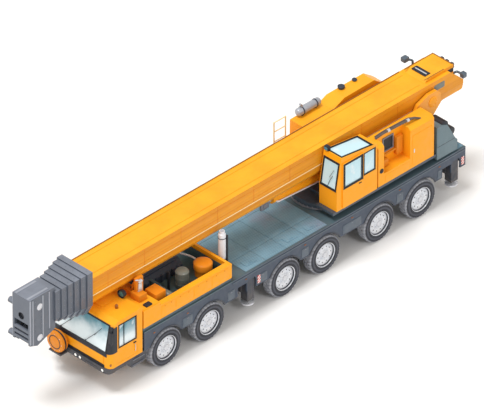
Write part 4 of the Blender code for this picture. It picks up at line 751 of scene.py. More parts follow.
def deck_pieces():
    engine = Piece("engine_block", DARK)
    engine.prism([(-0.80, 1.935), (0.10, 1.935), (0.10, 2.16), (-0.12, 2.36), (-0.58, 2.36), (-0.80, 2.16)], "x",
                 2.56, 4.34, 0.03)
    for i in range(7):
        x = 2.72 + i * 0.24
        engine.block((x, x + 0.10), (-0.84, 0.13), (1.94, 2.20), 0.012)
    for y in (-0.12, -0.58):
        engine.turned([(2.70, 0.05), (2.72, 0.07), (4.20, 0.07), (4.22, 0.05)], "x", (0, y, 2.33), 16)
    engine.done(("carrier_engine",))
    caps = Piece("engine_caps", STEEL)
    for i in range(6):
        caps.turned([(2.34, 0.05), (2.375, 0.05), (2.385, 0.03)], "z", (2.84 + i * 0.26, -0.35, 0), 16)
    caps.pipe([(2.62, -0.35, 2.30), (2.40, -0.35, 2.30), (2.20, 0.10, 2.28), (2.10, 0.55, 2.16)], 0.035, 10, 0.12)
    caps.done()
    drum = Piece("air_filter_drum", OLIVE)
    drum.turned([(1.935, 0.205), (1.95, 0.215), (2.49, 0.215), (2.50, 0.2245), (2.53, 0.2245), (2.54, 0.212),
                 (2.575, 0.19), (2.594, 0.13), (2.598, 0.04)], "z", DRUM_AT, 36)
    for z in (2.10, 2.32):
        drum.turned([(z - 0.012, 0.214), (z - 0.008, 0.2225), (z + 0.008, 0.2225), (z + 0.012, 0.214)], "z",
                    DRUM_AT, 36, hollow=True)
    drum.done(("air_filter",))
    (Piece("exhaust_pipe", SILVER)
     .turned([(1.742, 0.070), (2.02, 0.070), (2.06, 0.118), (2.08, 0.124), (3.12, 0.124), (3.15, 0.118),
             (3.17, 0.090), (3.258, 0.088), (3.258, 0.070), (3.16, 0.070)], "z", STACK_AT,
             36).done(("exhaust_stack",)))
    guard = Piece("exhaust_guard", BLACK)
    guard.block((1.29, 1.345), (0.79, 0.86), (1.742, 3.02), 0.01)
    guard.block((1.30, 1.40), (0.80, 0.85), (2.96, 3.02), 0.01)
    for z in (2.20, 3.0):
        guard.turned(rectangle((z, z + 0.02), (0.128, 0.138)), "z", STACK_AT, 28, hollow=True)
    guard.done()
    lids = Piece("deck_lids", YELLOW)
    for side in BOTH:
        for low, high in ((1.86, 2.60), (2.66, 3.40), (3.46, 4.20), (4.26, 4.84)):
            face = (side * 1.448, side * 1.459)
            lids.panel((low, high), (1.97, 2.34), 0.03, "y", *face, 0.004)
    for low, high in ((-1.42, -0.86), (0.86, 1.42)):
        lids.panel((4.94, 5.60), (low, high), 0.03, "z", 2.541, 2.556, 0.004)
    lids.done()
    latches = Piece("deck_latches", YELLOW_DEEP)
    for side in BOTH:
        for x in (2.05, 2.42, 2.85, 3.22, 3.65, 4.02, 4.42, 4.70):
            latches.block((x - 0.02, x + 0.02), (side * 1.457, side * 1.468), (2.29, 2.33), 0.003)
    latches.done()
    boxes = Piece("deck_boxes", YELLOW_DEEP)
    boxes.block((5.08, 5.42), (0.62, 1.04), (2.557, 2.80), 0.02)
    boxes.block((4.30, 4.75), (0.60, 1.10), (1.935, 2.55), 0.02)
    boxes.turned([(2.20, 0.30), (2.40, 0.31), (2.43, 0.29), (2.46, 0.20), (2.47, 0.05)], "z", (2.30, 0.74, 0), 36)
    boxes.turned([(1.935, 0.26), (2.20, 0.26)], "z", (2.30, 0.74, 0), 30)
    for low, high in ((4.90, 4.98), (5.06, 5.11)):
        boxes.block((low, high), (0.44, 0.62), (2.545, 3.06), 0.015)
    boxes.pipe([(5.22, 0.50, 2.56), (5.22, 0.56, 2.98), (5.0, 0.60, 3.06), (4.86, 0.60, 2.96)], 0.045, 10, 0.08)
    boxes.done()
    (Piece("deck_handles", BLACK)
     .block((5.18, 5.44), (1.20, 1.38), (2.545, 2.61), 0.015)
     .block((3.62, 3.68), (0.52, 0.60), (1.935, 2.62), 0.01).done())
    liner = Piece("tray_liner", TRAY)
    liner.block((1.86, 4.84), (-1.33, 1.33), (1.9305, 1.945), 0.003)
    for y in (-1.33, 1.325):
        liner.block((1.86, 4.84), (y, y + 0.008), (1.94, 2.30), 0.002)
    for x in (1.855, 4.836):
        liner.block((x, x + 0.008), (-1.32, 1.32), (1.94, 2.30), 0.002)
    liner.block((3.90, 4.02), (-1.30, 0.50), (1.94, 2.24), 0.02)
    liner.done()
    (Piece("air_tanks", OLIVE)
     .turned([(0.42, 0.06), (0.44, 0.12), (0.48, 0.15), (1.06, 0.15), (1.10, 0.12), (1.12, 0.06)], "y",
             (4.06, 0, 2.13), 28).done())
    arms = Piece("boom_rest_arms", STEEL)
    for side in BOTH:
        arms.prism([(5.06, 2.62), (5.28, 2.62), (5.24, 3.10), (5.10, 3.10)], "y", side * 0.802, side * 0.835, 0.01)
        arms.turned([(side * 0.80, 0.085), (side * 0.85, 0.085), (side * 0.865, 0.06)], "y", (5.17, 0, 3.16), 20)
        arms.pipe([(5.17, side * 0.84, 3.16), (5.30, side * 0.86, 3.30), (5.42, side * 0.86, 3.34)], 0.022, 8, 0.05)
    arms.done()
    rest = Piece("boom_rest_rollers", BLACK)
    for side in BOTH:
        rest.turned([(side * 0.42, 0.035), (side * 0.44, 0.05), (side * 0.62, 0.05), (side * 0.64, 0.035)], "y",
                    (5.17, 0, 2.748), 20)
    rest.done()
    rails = Piece("deck_handrails", YELLOW)
    for low, high in ((1.80, 3.05), (3.35, 4.70)):
        rails.pipe([(low, -1.36, 2.41), (low, -1.36, 2.78), (high, -1.36, 2.78), (high, -1.36, 2.41)], 0.017, 8, 0.08)
    rails.done()


# Driver's cab

SCREEN_BOTTOM = 1.60


def screen_x(z):
    return 7.14 - 0.20 * (z - SCREEN_BOTTOM) / 1.03


def tilted_ring(piece, ys, zs, width, lift, thick):
    """A frame on the sloping windscreen."""
    outer = rectangle((-ys, ys), zs)
    inner = rectangle((-ys + width, ys - width), (zs[0] + width, zs[1] - width))
    bm = bmesh.new()
    piece.closed(bm, [[bm.verts.new((screen_x(z) + depth, y, z)) for y, z in line]
                      for depth in (lift, lift - thick) for line in (outer, inner)])


def cushion(name, centre, size, body, tilt=0.0, replaces=()):
    """A seat cushion: crowned, with sides that pull in between its corners and a sewn channel round its top."""
    bm = bmesh.new()
    bmesh.ops.create_cube(bm, size=1)
    bmesh.ops.subdivide_edges(bm, edges=bm.edges, cuts=5, use_grid_fill=True)
    for v in bm.verts:
        x, y, z = v.co * 2
        crown = (1 - x * x) * (1 - y * y)
        v.co.z = (z + 0.30 * crown * (1 if z > 0 else 0.1)) / 2
        v.co.x *= 1 - 0.07 * (1 - abs(y)) * (1 - 0.4 * abs(z))
        v.co.y *= 1 - 0.07 * (1 - abs(x)) * (1 - 0.4 * abs(z))
        if z > 0.9 and (abs(abs(y) - 0.6) < 0.09) and abs(x) < 0.95:
            v.co.z -= 0.10
    bm.transform(Matrix.Translation(centre) @ Matrix.Rotation(tilt, 4, "Y") @ Matrix.Diagonal((*size, 1)))
    mesh = bpy.data.meshes.new(name)
    bm.to_mesh(mesh)
    bm.free()
    mesh.materials.append(FABRIC)
    for face in mesh.polygons:
        face.use_smooth = True
    thing = placed(name, mesh, body, replaces)
    smooth = thing.modifiers.new("round", "SUBSURF")
    smooth.levels = smooth.render_levels = 2
    return thing


def cab_pieces():
    seal = Piece("windscreen_seal", SEAL)
    tilted_ring(seal, 1.29, (1.56, 2.60), 0.055, 0.010, 0.016)
    seal.done()
    # black trim under the windscreen, carried up over the glass's lower edge as a painted dark reflection
    Piece("windscreen_dark_band", BLACK).block((7.13, 7.156), (-1.30, 1.30), (1.45, 1.64), 0.008).done()
    pillars = Piece("cab_pillars", BLACK)
    corner, half_width, front_x = 0.20, 1.45, 7.15
    for side in BOTH:
        bm = bmesh.new()
        rings = []
        for z in (1.585, 1.8, 2.0, 2.2, 2.4, 2.56):
            ring = []
            for lift, turns in ((0.010, range(0, 10)), (-0.014, range(9, -1, -1))):
                line = [(6.815, half_width + lift)]
                for i in range(9):
                    t = radians(90 * i / 8)
                    line.append((front_x - corner + (corner + lift) * sin(t),
                                half_width - corner + (corner + lift) * cos(t)))
                for i in turns:
                    x, y = line[i]
                    ring.append(bm.verts.new((min(x, screen_x(z) + lift), side * max(y, 1.262 if i else y), z)))
            rings.append(ring)
        for ring in (rings[0], rings[-1]):
            bm.faces.new(ring)
        for one, two in zip(rings, rings[1:]):
            for i in range(len(one)):
                bm.faces.new((one[i - 1], one[i], two[i], two[i - 1]))
        pillars.take(bm)
    pillars.done()
    wipers = Piece("wipers", BLACK)
    for y in (-0.75, 0.35):
        base = Vector((screen_x(1.66) + 0.022, y, 1.655))
        tip = Vector((screen_x(2.10) + 0.018, y + 0.42, 2.10))
        wipers.pipe([base, base.lerp(tip, 0.5) + Vector((0.012, 0, 0)), tip], 0.009, 6)
        wipers.pipe([tip + Vector((0, 0.24, 0.30)), tip, tip - Vector((0, 0.20, 0.26))], 0.008, 6)
        wipers.turned([(-0.02, 0.022), (0.02, 0.022)], "x", base, 12)
    wipers.done()
    for name, side in SIDES:
        body = f"driver_door_{name}"
        pane = Piece(f"door_glass_{name}", SCREEN_GLASS, body)
        pane.block((5.985, 6.735), (side * 1.425, side * 1.434), (1.71, 2.555), 0)
        pane.done()
        trim = Piece(f"door_trim_{name}", SEAL, body)
        ys = (side * 1.443, side * 1.456)
        trim.ring(rectangle((5.955, 6.765), (1.68, 2.585)), rectangle((6.0, 6.72), (1.725, 2.54)), "y", *ys)
        trim.block((6.50, 6.525), ys, (1.70, 2.56), 0.002)
        trim.block((5.99, 6.10), (side * 1.45, side * 1.475), (1.56, 1.60), 0.008)
        trim.done()
        grip = Piece(f"door_grip_{name}", STEEL, body)
        grip.pipe([(6.03, side * 1.445, 1.50), (6.03, side * 1.478, 1.50), (6.03, side * 1.478, 1.25),
                   (6.03, side * 1.445, 1.25)], 0.010, 8, 0.02)
        grip.done()
    mirrors = Piece("mirrors", BLACK)
    for side in BOTH:
        mirrors.pipe([(6.88, side * 1.40, 2.60), (7.02, side * 1.42, 2.56), (7.06, side * 1.43, 2.40)], 0.014, 8,
                     0.05)
        mirrors.pipe([(6.98, side * 1.36, 1.86), (7.06, side * 1.42, 1.90), (7.06, side * 1.43, 2.0)], 0.014, 8, 0.05)
        mirrors.block((7.02, 7.09), (side * 1.32, side * 1.49), (1.98, 2.42), 0.025)
    mirrors.done()
    glassy = Piece("mirror_glass", CHROME)
    for side in BOTH:
        glassy.block((7.012, 7.0215), (side * 1.34, side * 1.47), (2.01, 2.39), 0.004)
    glassy.done()
    (Piece("fascia_panels", YELLOW)
     .panel((-1.16, 1.16), (1.16, 1.45), 0.03, "x", 7.146, 7.160, 0.005).done())
    grille = Piece("grille", BLACK)
    grille.panel((-1.20, 1.20), (0.985, 1.12), 0.02, "x", 7.140, 7.162, 0.004)
    for i in range(4):
        z = 1.0 + i * 0.030
        grille.block((7.15, 7.174), (-1.16, 1.16), (z, z + 0.012), 0.003)
    grille.done()
    lens = Piece("headlamps", WHITE_LAMP)
    bowl = Piece("headlamp_rims", BLACK)
    for y in (-1.14, -0.06, 0.14, 1.14):
        lens.turned([(7.17, 0.056), (7.182, 0.052), (7.190, 0.036), (7.193, 0.01)], "x", (0, y, 0.90), 24)
        bowl.turned([(7.165, 0.056), (7.186, 0.058), (7.186, 0.072), (7.165, 0.076)], "x", (0, y, 0.90), 24,
                    hollow=True)
    lens.done()
    bowl.done()
    amber = Piece("turn_lamps", AMBER_LAMP)
    for side in BOTH:
        amber.panel((7.0, 7.10), (1.12, 1.20), 0.015, "y", side * 1.40, side * 1.421, 0.004)
    for y in (-0.9, 0.9):
        amber.turned([(2.74, 0.05), (2.80, 0.055), (2.86, 0.05), (2.885, 0.03), (2.89, 0.008)], "z", (6.3, y, 0), 24)
    amber.done()
    (Piece("roof_work_lamp", BLACK)
     .turned([(-0.06, 0.06), (-0.04, 0.12), (0.06, 0.15), (0.10, 0.15), (0.10, 0.13), (0.05, 0.11)], "x",
             ROOF_LAMP_AT, 24)
     .block((5.66, 5.74), (0.56, 0.64), (2.735, 2.80), 0.01).done())
    (Piece("roof_work_lens", SCREEN_GLASS, slot="bright_steel")
     .turned([(0.06, 0.11), (0.075, 0.10), (0.085, 0.06), (0.088, 0.01)], "x", ROOF_LAMP_AT, 24).done())
    (Piece("roof_details", YELLOW)
     .panel((5.85, 6.60), (-0.55, 0.55), 0.06, "z", 2.738, 2.765, 0.008).done())
    rubber = Piece("bumper_steps", DARK)
    for side in BOTH:
        rubber.block((7.168, 7.192), (side * 0.40, side * 0.92), (0.85, 0.92), 0.006)
    rubber.done()
    seats()


def seats():
    dash = Piece("dashboard", INTERIOR)
    dash.prism([(6.98, 1.08), (6.98, 1.62), (6.90, 1.66), (6.72, 1.62), (6.66, 1.50), (6.76, 1.40), (6.80, 1.08)],
               "y", -1.18, 1.18, 0.02)
    dash.block((5.93, 6.95), (-1.18, 1.18), (1.072, 1.10), 0.004)
    for side in BOTH:
        dash.block((5.98, 6.34), (side * 0.72 - 0.20, side * 0.72 + 0.20), (1.10, 1.40), 0.03)
    dash.pipe([(6.70, 0.72, 1.40), (6.58, 0.72, 1.66)], 0.025, 10)
    dash.turned(rectangle((-0.013, 0.013), (0.19, 0.215)), "z", (0, 0, 0), 30, hollow=True,
                matrix=Matrix.Translation((6.57, 0.72, 1.67)) @ Matrix.Rotation(radians(-28), 4, "Y"))
    dash.pipe([(6.57, 0.53, 1.67), (6.57, 0.91, 1.67)], 0.014, 8)
    dash.done(("driver_cab_interior",))
    for name, side in SIDES:
        cushion(f"seat_base_{name}", (6.17, side * 0.72, 1.48), (0.46, 0.50, 0.13), "carrier", radians(-4))
        cushion(f"seat_back_{name}", (5.93, side * 0.72, 1.83), (0.60, 0.48, 0.10), "carrier", radians(-82))
    cushion("operator_seat_base", (-4.12, 1.05, 2.48), (0.46, 0.48, 0.13), "superstructure", radians(-4),
            ("operator_seat",))
    cushion("operator_seat_back", (-4.37, 1.05, 2.84), (0.62, 0.46, 0.10), "superstructure", radians(-82))
    base = Piece("operator_seat_frame", INTERIOR, "superstructure")
    base.block((-4.32, -3.92), (0.90, 1.20), (2.097, 2.42), 0.03)
    for y in (0.77, 1.30):
        base.block((-4.30, -3.86), (y, y + 0.05), (2.62, 2.68), 0.012)
        base.pipe([(-3.92, y + 0.025, 2.66), (-3.90, y + 0.025, 2.80)], 0.012, 8)
        base.turned([(2.79, 0.02), (2.82, 0.026), (2.85, 0.018)], "z", (-3.898, y + 0.025, 0), 14)
    base.done()


# Superstructure

def upper_pieces():
    body = "superstructure"
    (Piece("operator_windscreen", UPPER_GLASS, body)
     .prism([(-3.006, 2.845), (-3.166, 3.805), (-3.176, 3.805), (-3.016, 2.845)], "y", 0.725, 1.375, 0).done())
    (Piece("operator_roof_glass", ROOF_GLASS, body)
     .prism([(-4.655, 3.810), (-3.265, 4.006), (-3.265, 3.998), (-4.655, 3.802)], "y", 0.725, 1.375, 0).done())
    (Piece("operator_side_glass", UPPER_GLASS, body)
     .block((-4.765, -4.21), (1.412, 1.420), (2.845, 3.735), 0).done())
    (Piece("operator_door_glass", UPPER_GLASS, "operator_door")
     .block((-4.115, -3.305), (1.455, 1.463), (2.845, 3.735), 0).done())
    seal = Piece("operator_cab_seals", SEAL, body)
    seal.ring(rectangle((-4.785, -4.19), (2.822, 3.758)), rectangle((-4.71, -4.26), (2.90, 3.68)), "y", 1.41, 1.4398)
    for ys in ((0.69, 0.755), (1.345, 1.41)):
        seal.prism([(-2.994, 2.83), (-3.157, 3.82), (-3.170, 3.82), (-3.008, 2.83)], "y", *ys, 0)
        seal.prism([(-4.67, 3.832), (-3.25, 4.030), (-3.25, 4.015), (-4.67, 3.816)], "y", *ys, 0)
    for low, high in ((2.80, 2.875), (3.755, 3.83)):
        seal.prism([(-3.0 - (low - 2.85) * 0.1695 + 0.006, low), (-3.0 - (high - 2.85) * 0.1695 + 0.006, high),
                    (-3.0 - (high - 2.85) * 0.1695 - 0.01, high), (-3.0 - (low - 2.85) * 0.1695 - 0.01, low)], "y",
                   0.69, 1.41, 0)
    for low, high in ((-4.68, -4.60), (-3.31, -3.24)):
        seal.prism([(low, 3.832 + (low + 4.67) * 0.1395), (high, 3.832 + (high + 4.67) * 0.1395),
                    (high, 3.82 + (high + 4.67) * 0.1395), (low, 3.82 + (low + 4.67) * 0.1395)], "y", 0.69, 1.41, 0)
    seal.done()
    (Piece("operator_door_trim", SEAL, "operator_door")
     .ring(rectangle((-4.16, -3.26), (2.80, 3.78)), rectangle((-4.07, -3.345), (2.885, 3.70)), "y", 1.477, 1.4845)
     .block((-4.08, -3.96), (1.478, 1.496), (2.70, 2.73), 0.006).done())
    (Piece("operator_wiper", BLACK, body)
     .pipe([(-3.0, 1.0, 2.83), (-3.03, 1.12, 3.15), (-3.05, 1.20, 3.30)], 0.008, 6)
     .pipe([(-3.035, 1.06, 3.2), (-3.09, 1.22, 3.52)], 0.007, 6).done())
    lamps = Piece("work_lamps", SCREEN_GLASS, body, slot="bright_steel")
    cases = Piece("work_lamp_cases", BLACK, body)
    y = 0.78
    cases.block((-3.30, -3.17), (y - 0.10, y + 0.10), (4.03, 4.19), 0.03)
    lamps.panel((y - 0.07, y + 0.07), (4.05, 4.16), 0.02, "x", -3.172, -3.160, 0.004)
    lamps.done()
    cases.done()
    vent = Piece("louvres", BLACK, body)
    for i in range(7):
        z = 2.98 + i * 0.055
        vent.prism([(1.00, z), (1.016, z), (1.008, z + 0.03), (1.00, z + 0.035)], "x", -5.92, -5.56, 0)
    for i in range(9):
        z = 2.75 + i * 0.075
        vent.prism([(-1.40, z), (-1.427, z), (-1.421, z + 0.04), (-1.40, z + 0.05)], "x", -6.60, -5.50, 0)
        vent.prism([(-1.40, z), (-1.427, z), (-1.421, z + 0.04), (-1.40, z + 0.05)], "x", -4.70, -3.95, 0)
    vent.block((-5.95, -5.53), (0.999, 1.006), (2.94, 3.40), 0.004)
    vent.done()
    (Piece("filler_cap", BLACK, body)
     .turned([(1.415, 0.085), (1.432, 0.085), (1.438, 0.07), (1.452, 0.06), (1.458, 0.03)], "y", (-5.05, 0, 2.62), 24)
     .block((-5.08, -5.02), (1.45, 1.466), (2.605, 2.635), 0.004).done())
    (Piece("louvre_frame", CAST, body)
     .ring(rectangle((-5.99, -5.49), (2.90, 3.44)), rectangle((-5.945, -5.535), (2.945, 3.395)), "y", 0.998,
           1.03).done())
    (Piece("recess_gear", YELLOW_DEEP, body)
     .block((-6.30, -6.02), (1.0, 1.14), (2.62, 3.30), 0.03)
     .block((-5.60, -5.22), (1.0, 1.20), (2.47, 2.74), 0.03)
     .pipe([(-5.40, 1.08, 2.74), (-5.40, 1.08, 2.84), (-6.10, 1.08, 2.86)], 0.035, 10, 0.06).done())
    (Piece("house_hose", HOSE, body)
     .pipe([(-5.14, 1.04, 3.64), (-5.42, 1.10, 3.74), (-6.70, 1.18, 3.76), (-7.0, 1.22, 3.60)], 0.04, 10, 0.12)
     .pipe([(-5.20, 0.96, 3.64), (-5.46, 1.02, 3.73), (-6.60, 1.08, 3.75), (-6.86, 1.12, 3.62)], 0.028, 10,
           0.12).done())
    link_ends = Piece("house_hose_ends", STEEL, body)
    for x, y, z in ((-5.66, 1.112, 3.744), (-6.48, 1.167, 3.757)):
        link_ends.turned([(x - 0.05, 0.055), (x + 0.05, 0.055)], "x", (0, y, z), 14)
    link_ends.done()
    doors = Piece("house_doors", YELLOW, body)
    doors.panel((-7.36, -6.44), (2.16, 3.28), 0.04, "y", 1.418, 1.430, 0.005)
    doors.panel((-6.30, -5.22), (2.10, 2.37), 0.02, "y", 1.418, 1.428, 0.004)
    for low, high in ((-7.40, -6.70), (-5.42, -4.78)):
        doors.panel((low, high), (2.20, 3.55), 0.04, "y", -1.430, -1.418, 0.005)
    doors.done()
    grips = Piece("house_latches", STEEL, body)
    grips.block((-6.54, -6.50), (1.428, 1.444), (2.62, 2.76), 0.004)
    for x in (-7.32, -5.34):
        grips.block((x - 0.02, x + 0.02), (-1.444, -1.428), (2.8, 2.94), 0.004)
    grips.done()
    (Piece("muffler", BARREL, body)
     .turned([(-5.00, 0.05), (-4.98, 0.11), (-4.94, 0.135), (-4.04, 0.135), (-4.00, 0.11), (-3.98, 0.05)], "x",
             MUFFLER_AT, 28)
     .pipe([(-4.20, -1.33, 4.10), (-4.20, -1.33, 4.24), (-4.12, -1.33, 4.31)], 0.04, 12, 0.04).done())
    (Piece("house_roof_vents", DARK, body)
     .turned([(4.08, 0.09), (4.15, 0.09), (4.15, 0.12), (4.20, 0.12), (4.22, 0.08)], "z", (-5.90, -1.24, 0), 24)
     .turned([(4.08, 0.07), (4.16, 0.07), (4.16, 0.09), (4.19, 0.06)], "z", (-6.50, -1.24, 0), 24).done())
    feet = Piece("muffler_feet", DARK, body)
    for x in (-4.8, -4.2):
        feet.turned(rectangle((x - 0.02, x + 0.02), (0.137, 0.147)), "x", MUFFLER_AT, 28, hollow=True)
        feet.block((x - 0.04, x + 0.04), (-1.39, -1.27), (3.855, 3.94), 0.006)
    feet.done()
    rails = Piece("platform_handrails", CREAM, body)
    for x in (-2.98, -3.50):
        rails.pipe([(x, -1.36, 2.05), (x, -1.36, 4.16)], 0.024, 8)
    for z in (2.70, 3.40, 3.78, 4.14):
        rails.pipe([(-2.98, -1.36, z), (-3.52, -1.36, z)], 0.018, 8)
    rails.done()
    ring = Piece("slewing_ring_bolts", CAST, body)
    for a, b in around(40, 1.045):
        ring.turned([(1.80, 0.02), (1.83, 0.02), (1.835, 0.014)], "z", (SLEW_X + a, b, 0), 6)
    ring.turned([(1.765, 1.0), (1.765, 1.075), (1.80, 1.075), (1.80, 1.0)], "z", (SLEW_X, 0, 0), 64, hollow=True)
    ring.done()
    pins = Piece("boom_pivot_caps", YELLOW, body)
    for side in BOTH:
        pins.turned([(side * 0.758, 0.20), (side * 0.775, 0.20), (side * 0.785, 0.17)], "y", (PIVOT_X, 0, PIVOT_Z),
                    32)
        pins.bolts([(PIVOT_X + a, side * 0.783, PIVOT_Z + b) for a, b in around(8, 0.15)], "y", 0.016, side * 0.02)
    pins.done()
    weight = Piece("counterweight_buffers", BLACK, body)
    for side in BOTH:
        for x, z in ((-7.93, 2.97), (-8.24, 2.58)):
            weight.turned([(side * 0.90, 0.13), (side * 0.91, 0.158), (side * 1.405, 0.158), (side * 1.415, 0.13)],
                          "y", (x, 0, z), 28)
    weight.done()
    seams = Piece("counterweight_seams", DARK, body)
    for side in BOTH:
        seams.block((-8.37, -7.56), (side * 1.443, side * 1.449), (2.28, 2.28 + 0.014), 0.002)
    seams.block((-8.784, -8.776), (-1.10, 1.10), (1.84, 1.852), 0.002)
    seams.done()
    drum = Piece("hoist_rope", ROPE, body)
    loop = []
    for i in range(33):
        y = -0.40 + 0.80 * i / 32
        loop.append((y, 0.212 if i % 2 else 0.226))
    drum.turned([(-0.405, 0.15)] + loop + [(0.405, 0.15)], "y", (-6.98, 0, 2.38), 36)
    drum.done()


# Boom

def boom_pieces():
    side_face = 0.60
    seams = Piece("boom_base_seams", YELLOW_DEEP, "boom_base", slot="dark_paint")
    # the cream line along each side low down is a painted highlight on the boom's lower edge
    cream = Piece("boom_base_highlight_lines", CREAM, "boom_base")
    for side in BOTH:
        face = (side * (side_face - 0.001), side * (side_face + 0.006))
        for z in (3.92, 3.60):
            seams.block((-8.3, 7.12), face, (z, z + 0.012), 0.002)
        cream.block((-7.9, 7.12), face, (3.43, 3.462), 0.002)
        for i in range(9):
            x = -6.6 + i * 1.62
            seams.block((x, x + 0.018), face, (3.47, 4.08), 0.002)
    seams.done()
    cream.done()
    bracket = Piece("cylinder_bracket", CAST, "boom_base")
    for side in BOTH:
        bracket.block((-1.207, -0.853), (side * 0.124, side * 0.196), (2.522, 2.808), 0.006)
        bracket.turned([(side * 0.19, 0.085), (side * 0.215, 0.085), (side * 0.222, 0.06)], "y", (-1.03, 0, EYE_Z),
                       20)
    bracket.done()
    # a thin silver pipe with clamps along the barrel's lower side; its silver is a painted highlight on the cylinder
    line = Piece("cylinder_highlight_line", SILVER, "luffing_barrel")
    slope = (EYE_Z - FOOT_Z) / (6.20 - 1.03)
    axis_z = {x: FOOT_Z + (x + 6.20) * slope for x in (-5.30, -5.20, -3.40, -1.64, -1.58)}
    line.pipe([(-5.30, 0.13, axis_z[-5.30] - 0.05), (-5.20, 0.172, axis_z[-5.20] - 0.08),
               (-1.64, 0.172, axis_z[-1.64] - 0.08), (-1.58, 0.13, axis_z[-1.58] - 0.05)], 0.026, 10, 0.03)
    for x in (-5.20, -3.40, -1.64):
        line.block((x - 0.03, x + 0.03), (0.13, 0.178), (axis_z[x] - 0.11, axis_z[x] - 0.05), 0.006)
    line.done()
    top = Piece("boom_top_strip", BOOM_YELLOW, "boom_base")
    for y in (-0.40, 0.36):
        top.block((-7.80, 7.10), (y, y + 0.04), (4.098, 4.112), 0.003)
    top.done()
    slot = Piece("boom_tail_slot", BLACK, "boom_base")
    slot.panel((-8.40, -8.14), (-0.32, 0.32), 0.04, "z", 4.214, 4.226, 0.003)
    slot.block((-9.30, -9.27), (-0.34, 0.34), (3.90, 4.12), 0.006)
    slot.block((-9.47, -9.44), (-0.495, 0.495), (3.205, 3.445), 0.004)
    for side in BOTH:
        slot.panel((-9.28, -8.98), (3.95, 4.10), 0.04, "y", side * 0.452, side * 0.466, 0.003)
    slot.done()
    (Piece("boom_tail_port", OLIVE, "boom_base", slot="dark_paint")
     .panel((-8.74, -8.26), (3.70, 3.93), 0.05, "y", 0.598, 0.606, 0.003).done())
    (Piece("boom_tail_sheave", STEEL, "boom_base")
     .panel((-8.29, -8.24), (-0.26, 0.26), 0.02, "z", 4.224, 4.236, 0.003).done())
    (Piece("tail_lamp_posts", SLATE_LIGHT, "boom_base")
     .pipe([(-8.45, -0.55, 4.05), (-8.45, -0.55, 4.28), (-8.30, -0.66, 4.34)], 0.04, 8, 0.05)
     .block((-8.36, -8.14), (-0.80, -0.60), (4.27, 4.436), 0.03)
     .pipe([(-9.22, 0.36, 3.78), (-9.46, 0.44, 3.84), (-9.50, 0.64, 3.82)], 0.04, 8, 0.04)
     .block((-9.59, -9.42), (0.60, 0.775), (3.72, 3.90), 0.03).done())
    # painted shade: brown lines along the far top edge and round the tail's top
    (Piece("boom_edge_shade_lines", EDGE_SHADE, "boom_base")
     .pipe([(-7.85, -0.575, 4.112), (7.10, -0.575, 4.112)], 0.018, 8)
     .block((-9.26, -7.96), (-0.452, -0.418), (4.214, 4.232), 0.004)
     .block((-9.268, -9.232), (-0.452, 0.44), (4.214, 4.232), 0.004)
     .block((-8.86, -7.98), (0.425, 0.452), (4.214, 4.228), 0.004).done())
    gear = Piece("tail_guides", DARK, "boom_base")
    for y in (-0.22, 0.0, 0.22):
        gear.turned([(y - 0.035, 0.10), (y - 0.03, 0.12), (y + 0.03, 0.12), (y + 0.035, 0.10)], "y", (-9.42, 0, 3.98),
                    24)
    gear.turned([(-0.34, 0.03), (0.34, 0.03)], "y", (-9.42, 0, 3.98), 12)
    gear.done()
    for step in range(6):
        body = f"boom_section_{step}" if step else "boom_base"
        collar = Piece(f"collar_{step}_bolts", CAST, body)
        x = COLLAR_START + COLLAR_PITCH * step
        half = COLLAR_HALF_WIDTH - step * COLLAR_STEP
        top_z = COLLAR_TOP - step * COLLAR_TOP_STEP
        # The first collar's top is the part's highest point, so its bolts don't stand above it
        height = 0.012 if step else -0.001
        for side in BOTH:
            for i in range(5):
                z = 3.42 + i * (top_z - 3.56) / 4
                collar.bolts([(x + 0.115, side * half, z)], "y", 0.018, side * 0.012)
        for i in range(4):
            y = -half * 0.75 + i * half * 0.5
            collar.bolts([(x + 0.115, y, top_z)], "z", 0.018, height)
        collar.done()


def head_pieces():
    body = "boom_section_5"
    pins = Piece("head_pins", STEEL, body)
    for z, ear_z in ((2.80, 2.62), (3.98, 3.84)):
        for side in BOTH:
            pins.turned([(side * 0.378, 0.12), (side * 0.392, 0.12), (side * 0.402, 0.09)], "y", (9.16, 0, z), 24)
        pins.turned([(-0.715, 0.085), (-0.735, 0.085), (-0.74, 0.07)], "y", (9.38, 0, ear_z), 20)
    pins.done()
    # painted highlights: strips on the head's front corners, ribs and top stand proud, in lighter grey
    light = Piece("head_edge_highlights", GREY_HIGHLIGHT, body)
    for side in BOTH:
        light.block((9.545, 9.5995), (side * 0.345, side * 0.396), (2.70, 4.38), 0.004)
    for side in BOTH:
        for x, low in ((8.72, 2.95), (9.0, 2.72), (9.44, 2.62)):
            light.block((x, x + 0.05), (side * 0.376, side * 0.398), (low, 4.34), 0.006)
    light.block((8.70, 9.58), (-0.30, -0.22), (4.396, 4.415), 0.006)
    light.block((8.70, 9.58), (0.22, 0.30), (4.396, 4.415), 0.006)
    light.done()
    (Piece("head_hole", BLACK, body)
     .turned(rectangle((9.56, 9.598), (0.112, 0.15)), "x", (0, 0, 3.66), 28, hollow=True)
     .turned([(9.535, 0.14), (9.54, 0.14)], "x", (0, 0, 3.66), 28).done())
    bolts = Piece("head_bolts", CAST, body)
    for side in BOTH:
        bolts.bolts([(9.09, side * 0.378, z) for z in (3.10, 3.30, 3.50, 3.70)], "y", 0.018, side * 0.016)
        bolts.bolts([(9.35, side * 0.378, z) for z in (3.10, 3.30, 3.50, 4.10, 4.25)], "y", 0.018, side * 0.016)
    bolts.done()


# Hook block

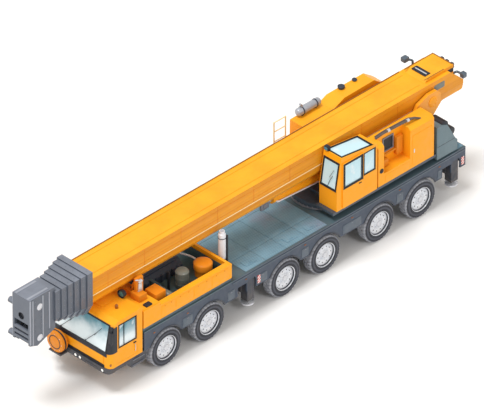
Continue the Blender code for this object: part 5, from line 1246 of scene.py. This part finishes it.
def hook_pieces():
    x = 7.23
    middle = (0, -0.68, 1.22)
    (Piece("hook_block_case", YELLOW_DEEP)
     .turned([(x + 0.002, 0.32), (x + 0.02, 0.36), (x + 0.05, 0.378), (x + 0.21, 0.378), (x + 0.24, 0.362),
             (x + 0.252, 0.32), (x + 0.252, 0.15), (x + 0.258, 0.13), (x + 0.2595, 0.02)], "x", middle,
             48).done(("hook_block",)))
    (Piece("hook_block_rim", BLACK)
     .turned([(x + 0.10, 0.36), (x + 0.10, 0.3795), (x + 0.16, 0.3795), (x + 0.16, 0.36)], "x", middle, 48,
             hollow=True)
     .turned(rectangle((x + 0.250, x + 0.2575), (0.22, 0.25)), "x", middle, 40, hollow=True).done())
    bolts = Piece("hook_block_bolts", STEEL)
    for a, b in around(8, 0.30):
        bolts.turned([(x + 0.25, 0.016), (x + 0.2585, 0.014)], "x", (0, middle[1] + a, middle[2] + b), 6)
    bolts.done()


wheel_pieces()
carrier_pieces()
deck_pieces()
cab_pieces()
upper_pieces()
boom_pieces()
head_pieces()
hook_pieces()


# Floor and light

floor_mesh = bpy.data.meshes.new("floor")
floor_mesh.from_pydata([(-300, -300, 0), (300, -300, 0), (300, 300, 0), (-300, 300, 0)], [], [(0, 1, 2, 3)])
floor = bpy.data.objects.new("floor", floor_mesh)
floor.location.z = -0.001
floor_shader = Shader("floor_finish", 0.9, specular=0.1)
floor_shader.colour(floor_shader.mottle(0.2, 3, 0.3, 0.7, 1, (0.97, 0.965, 0.955), (0.99, 0.985, 0.975)))
floor_mesh.materials.append(floor_shader.mat)
scene.collection.objects.link(floor)

world = bpy.data.worlds.new("world")
scene.world = world
world.use_nodes = True
world.node_tree.nodes["Background"].inputs["Color"].default_value = (1.0, 0.955, 0.90, 1)
world.node_tree.nodes["Background"].inputs["Strength"].default_value = 0.62


def sun(name, direction, strength, angle, colour):
    data = bpy.data.lights.new(name, "SUN")
    data.energy = strength
    data.angle = radians(angle)
    data.color = colour
    thing = bpy.data.objects.new(name, data)
    thing.rotation_euler = Vector(direction).to_track_quat("Z", "Y").to_euler()
    scene.collection.objects.link(thing)


sun("key", (0.42, -0.12, 1.40), 1.85, 22, (0.98, 0.99, 1.0))
sun("fill", (0.20, 1.0, 0.80), 0.52, 16, (0.98, 0.98, 1.0))
sun("front", (1.0, 0.15, 0.35), 0.24, 30, (0.98, 0.98, 1.0))
scene.view_settings.view_transform = "Standard"
